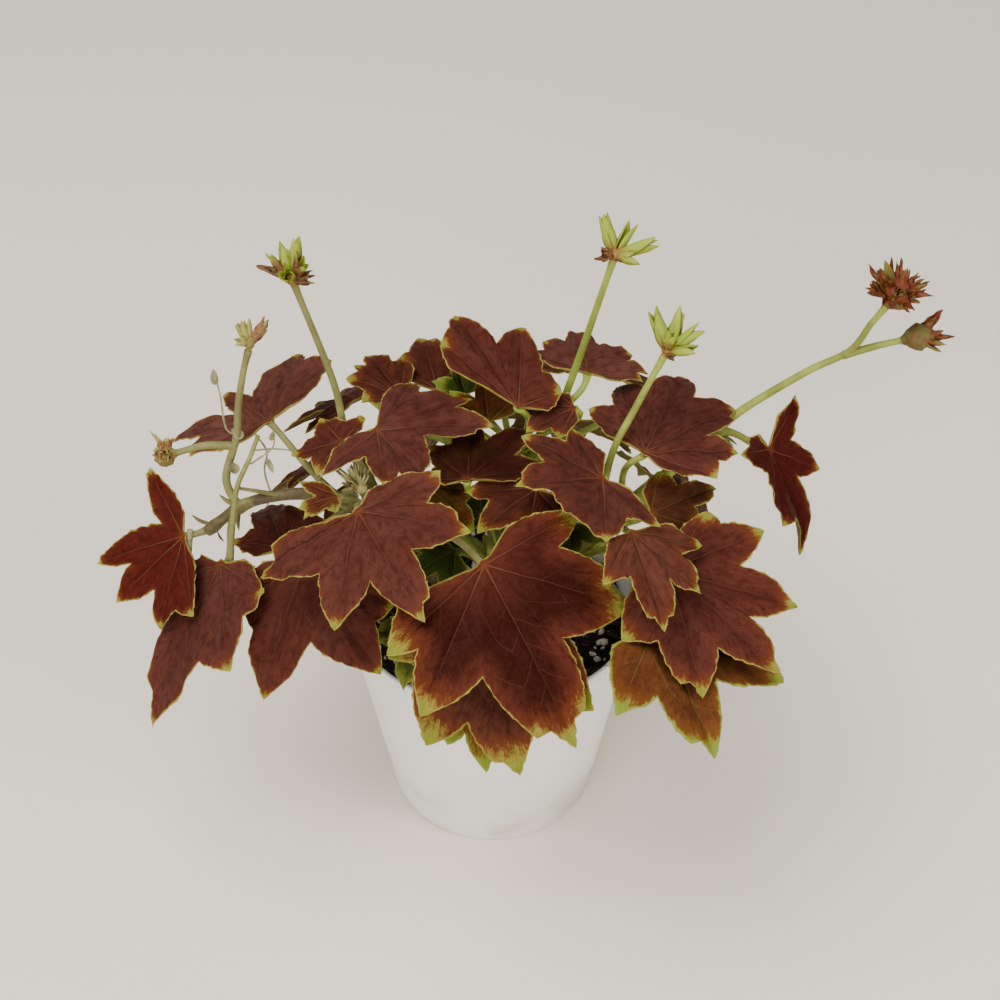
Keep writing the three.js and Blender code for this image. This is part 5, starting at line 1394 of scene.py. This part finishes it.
rng = np.random.default_rng(12)
roots, ways = [], []
for curve, radius_at in hairy:
    share = rng.random(int(curve[1][-1] * SHOOT_HAIRS["each_mm"]))
    centre, along = on_curve(curve, share)
    across = unit(np.cross(along, rng.normal(size=(len(share), 3))))
    roots.append(centre + across * (radius_at(share)[:, None] - SHOOT_HAIRS["sunk"]))
    ways.append(across + SHOOT_HAIRS["spray"] * rng.normal(size=(len(share), 3)))
roots, ways = np.concatenate(roots), np.concatenate(ways)
lengths = rng.uniform(*SHOOT_HAIRS["length"], len(roots))
bristle = hairs("shoot_hairs", roots, ways, lengths, SHOOT_HAIRS["thick"])
bristle.data.materials.append(hair_paint)
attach(bristle, "root")

# The flower heads, past their bloom: the petals have dropped or dried, and what stays is a few
# cups of boat-shaped pointed sepals on one small receptacle, some still lime and some withered.
# Each head is one grown piece, rooted on the tip of its stalk.

# A head: its stalk, finish, receptacle (radius, half-height, how withered) and cups. A cup: its
# direction, its number of sepals, their tilt from it, length and width, and how withered they are
# from 0 to 1.
HEADS = [
    ("back_left", "sepal", (2.2, 2.0, 0.5), [
        ((0.15, 0.68, 0.73), 3, 12, 13, 4.2, 0.3), ((-0.35, 0.6, 0.76), 4, 14, 12.5, 4.0, 0.55),
        ((-0.8, 0.2, 0.6), 4, 15, 11, 3.4, 0.85), ((0.45, 0.1, 0.7), 4, 20, 8.5, 3.6, 0.75),
        ((0.9, -0.1, 0.3), 7, 30, 7, 1.8, 1.0), ((-0.1, -0.5, 0.6), 5, 24, 8, 3.4, 0.65)]),
    ("back_right", "sepal", (1.7, 1.6, 0.3), [
        ((-0.3, 0.6, 0.8), 3, 12, 13.5, 4.4, 0.22), ((0.45, 0.62, 0.66), 2, 10, 11.5, 3.8, 0.1),
        ((1.0, 0.06, 0.36), 4, 13, 13.5, 4.0, 0.3), ((0.8, -0.55, 0.15), 4, 18, 8.5, 3.2, 0.55),
        ((-0.75, -0.3, 0.4), 6, 30, 6, 1.9, 1.0)]),
    ("middle", "sepal", (1.8, 1.7, 0.2), [
        ((-0.28, 0.6, 0.8), 3, 12, 13, 4.5, 0.1), ((0.38, 0.66, 0.73), 3, 11, 13.5, 4.6, 0.05),
        ((0.95, 0.25, 0.54), 3, 12, 13.5, 4.4, 0.05), ((1.0, -0.3, 0.3), 2, 10, 10.5, 3.8, 0.1),
        ((0.05, -0.1, 0.95), 3, 14, 8.5, 3.8, 0.5), ((0.5, -0.7, -0.1), 5, 34, 4.5, 1.1, 1.0)]),
    ("far_right", "rust", (4.6, 4.4, 0.75), [
        ((-0.15, 0.5, 0.85), 9, 32, 11, 2.3, 1.0), ((0.3, 0.4, 0.85), 7, 18, 10, 2.7, 0.8),
        ((-0.8, 0.3, 0.5), 9, 32, 11, 2.0, 1.0), ((0.9, 0.2, 0.5), 9, 32, 10.5, 2.2, 0.95),
        ((0.3, -0.7, 0.5), 9, 36, 9.5, 2.3, 0.85), ((-0.35, -0.5, 0.8), 8, 34, 10, 2.4, 0.9),
        ((-0.3, 0.1, 0.95), 1, 4, 12.5, 3.6, 0.05), ((0.5, 0.7, -0.1), 7, 36, 7, 1.8, 1.0)]),
    ("far_right_side", "rust", (3.9, 4.6, 0.48), [
        ((0.75, 0.45, 0.5), 3, 8, 12, 3.4, 0.9), ((0.97, -0.1, 0.15), 4, 12, 11, 2.8, 0.95),
        ((0.85, -0.45, 0.1), 3, 12, 10, 2.6, 0.6)]),
    ("left_old", "dry", (1.5, 2.2, 0.35), [
        ((-0.4, 0.55, 0.72), 4, 16, 7.5, 2.6, 0.1), ((0.0, 0.6, 0.8), 3, 8, 8, 1.8, 0.3),
        ((0.6, 0.5, 0.65), 6, 12, 9.5, 3.0, 0.85), ((-0.7, -0.1, 0.5), 3, 24, 4.5, 2.0, 0.4)]),
    ("left_bud", "dry", (3.3, 3.2, 0.5), [
        ((-0.5, 0.6, 0.6), 8, 42, 4.4, 2.8, 0.7), ((-0.9, 0.1, 0.3), 9, 46, 4.4, 2.8, 0.75),
        ((-0.2, -0.7, 0.5), 8, 42, 4.4, 2.8, 0.7), ((-0.55, 0.5, 0.68), 2, 10, 9, 1.3, 0.5)]),
    ("young", "bud", (1.8, 1.8, 0.1), [
        ((-0.2, 0.4, 0.9), 9, 14, 8.5, 1.2, 0.1), ((-0.6, 0.5, 0.6), 9, 20, 8, 1.1, 0.3),
        ((-0.6, -0.4, 0.7), 9, 22, 7, 1.2, 0.55), ((0.2, 0.1, 0.9), 9, 22, 7, 1.2, 0.2)]),
]
HEAD_COLOURS = {
    "sepal": {"Root": "#8a642e", "Body": "#8f9c2e", "Tip": "#a0ac3a", "Withered": "#6c4528"},
    "bud": {"Root": "#b5a466", "Body": "#b8af6c", "Tip": "#cdc38c", "Withered": "#a68e56"},
    # The young buds are pale and hairy, and their colours are lighter still as painted light,
    # since the head sits in shade.
    "rust": {"Root": "#625a28", "Body": "#6c622a", "Tip": "#877c36", "Withered": "#6c3014"},
    "dry": {"Root": "#7a6a34", "Body": "#958c46", "Tip": "#a99d58", "Withered": "#85573a"},
}
CORE = {"clear": 0.3, "rows": 9, "sides": 18, "lumps": 0.12, "foot": 1.0, "foot_sunk": 0.6,
        "foot_sides": 12, "foot_width": 0.6, "foot_top": -0.7, "foot_age": 0.1, "cups_at": 0.6}
SEPAL = {"root_out": 0.35, "most_out": 1.1, "shorter": (0.15, 0.3), "narrower": 0.3,
         "thick": (0.3, 0.25), "cup": 0.9, "bend": 0.3, "widest": 0.36, "crumple": 0.25,
         "crumples": 2.9}
SEPAL_SKIN = {"rib": 2.4, "fleck": 700.0, "blotch": 260.0, "char": "#3c1c0e", "straw": "#95693a",
              "roughness": (0.45, 0.7), "gloss": 0.25, "relief": 0.0003}

# The sepals' skin: root, body and tip colours with fine ribs, over which the withered brown
# spreads from the root as the age grows, charred in flecks and straw-pale in blotches.
sepal_group, start, end = add_group("sepal skin", ["Root", "Body", "Tip", "Withered"])
tree = sepal_group
place = put(tree, "TexCoord").outputs["Object"]
along, across, seed = read_values(tree, "facts")
age = read_values(tree, "age")[0]
ribs = vector(tree, times(tree, across, 3.0), times(tree, along, 1.3), times(tree, seed, 40.0))
rib = noise(tree, ribs, SEPAL_SKIN["rib"], 3.0)
fleck = noise(tree, place, SEPAL_SKIN["fleck"], 3.0)
blotch = noise(tree, place, SEPAL_SKIN["blotch"], 3.0)
past_root = fade(tree, jitter(tree, along, fleck, 0.3), 0.05, 0.4)
colour = mix(tree, past_root, start["Root"], start["Body"])
colour = mix(tree, fade(tree, jitter(tree, along, seed, 0.4), 0.6, 1.05), colour, start["Tip"])
colour = mix(tree, times(tree, fade(tree, rib, 0.52, 0.7), 0.3), colour, start["Root"])
spread = calc(tree, "ADD", age, times(tree, calc(tree, "SUBTRACT", 0.35, along), 0.5))
withered = fade(tree, jitter(tree, jitter(tree, spread, blotch, 1.1), seed, 0.3), 0.35, 0.75)
old = mix(tree, fade(tree, fleck, 0.48, 0.68), start["Withered"], paint(SEPAL_SKIN["char"]))
old = mix(tree, fade(tree, blotch, 0.5, 0.7, 0.0, 0.45), old, paint(SEPAL_SKIN["straw"]))
colour = mix(tree, withered, colour, old)
end_group(tree, end, colour, fade(tree, fleck, 0.3, 0.7, *SEPAL_SKIN["roughness"]),
          calc(tree, "ADD", times(tree, rib, 0.7), times(tree, fleck, 0.3)))

sepal_paint = {}
for tone, colours in HEAD_COLOURS.items():
    sepal_paint[tone], shader = grouped_material(tone + " sepal skin", sepal_group, colours,
                                                 SEPAL_SKIN["gloss"], SEPAL_SKIN["relief"])


def upright_to(axis):
    """The shortest turn from upright to an axis, as a matrix for rows of points."""
    turn = Vector((0, 0, 1)).rotation_difference(Vector(axis)).to_matrix()
    return np.array(turn).T


def cup(number, order, core_height, row):
    """One cup's sepals, evenly round its direction but for a draw each. A sepal leans out by the
    tilt and curves back in. The more withered they are, the more they differ in length, cup and
    bend, and a sine of their place crumples them."""
    direction, count, lean, length, width, age = row
    axis = unit(np.array(direction))
    k = order * 20 + np.arange(count)
    around = (np.arange(count) + 0.5 * order + (0.3 + age) * draw(number, k)) / count * 2 * np.pi
    side = unit(np.cross(axis, [0.3, -0.9, 0.2]))
    radial = np.cos(around)[:, None] * side + np.sin(around)[:, None] * np.cross(axis, side)
    tilt = np.radians(lean * (0.7 + 0.6 * draw(number, k + 30)))[:, None]
    out = axis * np.cos(tilt) + radial * np.sin(tilt)
    up = axis * np.sin(tilt) - radial * np.cos(tilt)
    live, old = SEPAL["shorter"]
    long = length * (1 - (live + old * age) * draw(number, k + 60))
    wide = width * (1 - SEPAL["narrower"] * age * draw(number, k + 80))
    root_out = min(SEPAL["most_out"], SEPAL["root_out"] * width)
    roots = axis * core_height * SEPAL["root_out"] + radial * root_out
    live, old = SEPAL["thick"]
    points, faces, facts = petals(
        roots, facing(out, up), long, wide, thick=live + old * age,
        cup=SEPAL["cup"] + age * draw(number, k + 90),
        bend=SEPAL["bend"] + age * (draw(number, k + 70) - 0.4), widest=SEPAL["widest"])
    crumple = SEPAL["crumple"] * age * np.sin(points * SEPAL["crumples"] + number)
    return points + crumple, faces, facts, np.full(len(points), age)


def receptacle(number, radius, half):
    """A lumpy ball, whose profile is an ellipse's, and the foot that joins it to its stalk. Both
    stand about the ball's middle, as (points, faces, facts)."""
    arc = np.linspace(0, np.pi, CORE["rows"])
    ball = np.stack([np.sin(arc) * radius, -np.cos(arc) * half], axis=-1)
    points, faces = turned(ball, CORE["sides"])
    lumps = np.sin(points[:, :1] * 3.1 + number) * np.cos(points[:, 2:] * 2.3)
    points *= 1 + CORE["lumps"] * lumps
    base, top = -half - CORE["clear"] - CORE["foot_sunk"], half * CORE["foot_top"]
    foot, foot_faces = turned([[0, base], [CORE["foot"], base],
                               [radius * CORE["foot_width"], top], [0, top]], CORE["foot_sides"])
    return (points, faces, points * 0), (foot, foot_faces, foot * 0)


for number, (name, tone, (radius, half, core_age), cups) in enumerate(HEADS, 1):
    tip_place, axis = [rows[0] for rows in on_curve(curves[name], 1.0)]
    turn = upright_to(axis)
    parts, ages = [], []
    for part, age in zip(receptacle(number, radius, half), (core_age, CORE["foot_age"])):
        points, faces, facts = part
        parts.append((points @ turn + axis * (half + CORE["clear"]), faces, facts))
        ages.append(np.full(len(points), age))
    for order, row in enumerate(cups):
        points, faces, facts, old = cup(number, order, half, row)
        parts.append((points + axis * (half * CORE["cups_at"] + CORE["clear"]), faces, facts))
        ages.append(old)
    points, faces, facts = joined(parts)
    head = make_object("flower_" + name, points + tip_place, faces)
    set_values(head, "facts", facts)
    set_values(head, "age", np.repeat(np.concatenate(ages)[:, None], 3, axis=1))
    head.data.materials.append(sepal_paint[tone])
    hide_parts("head_" + name)
    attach(head, "root")
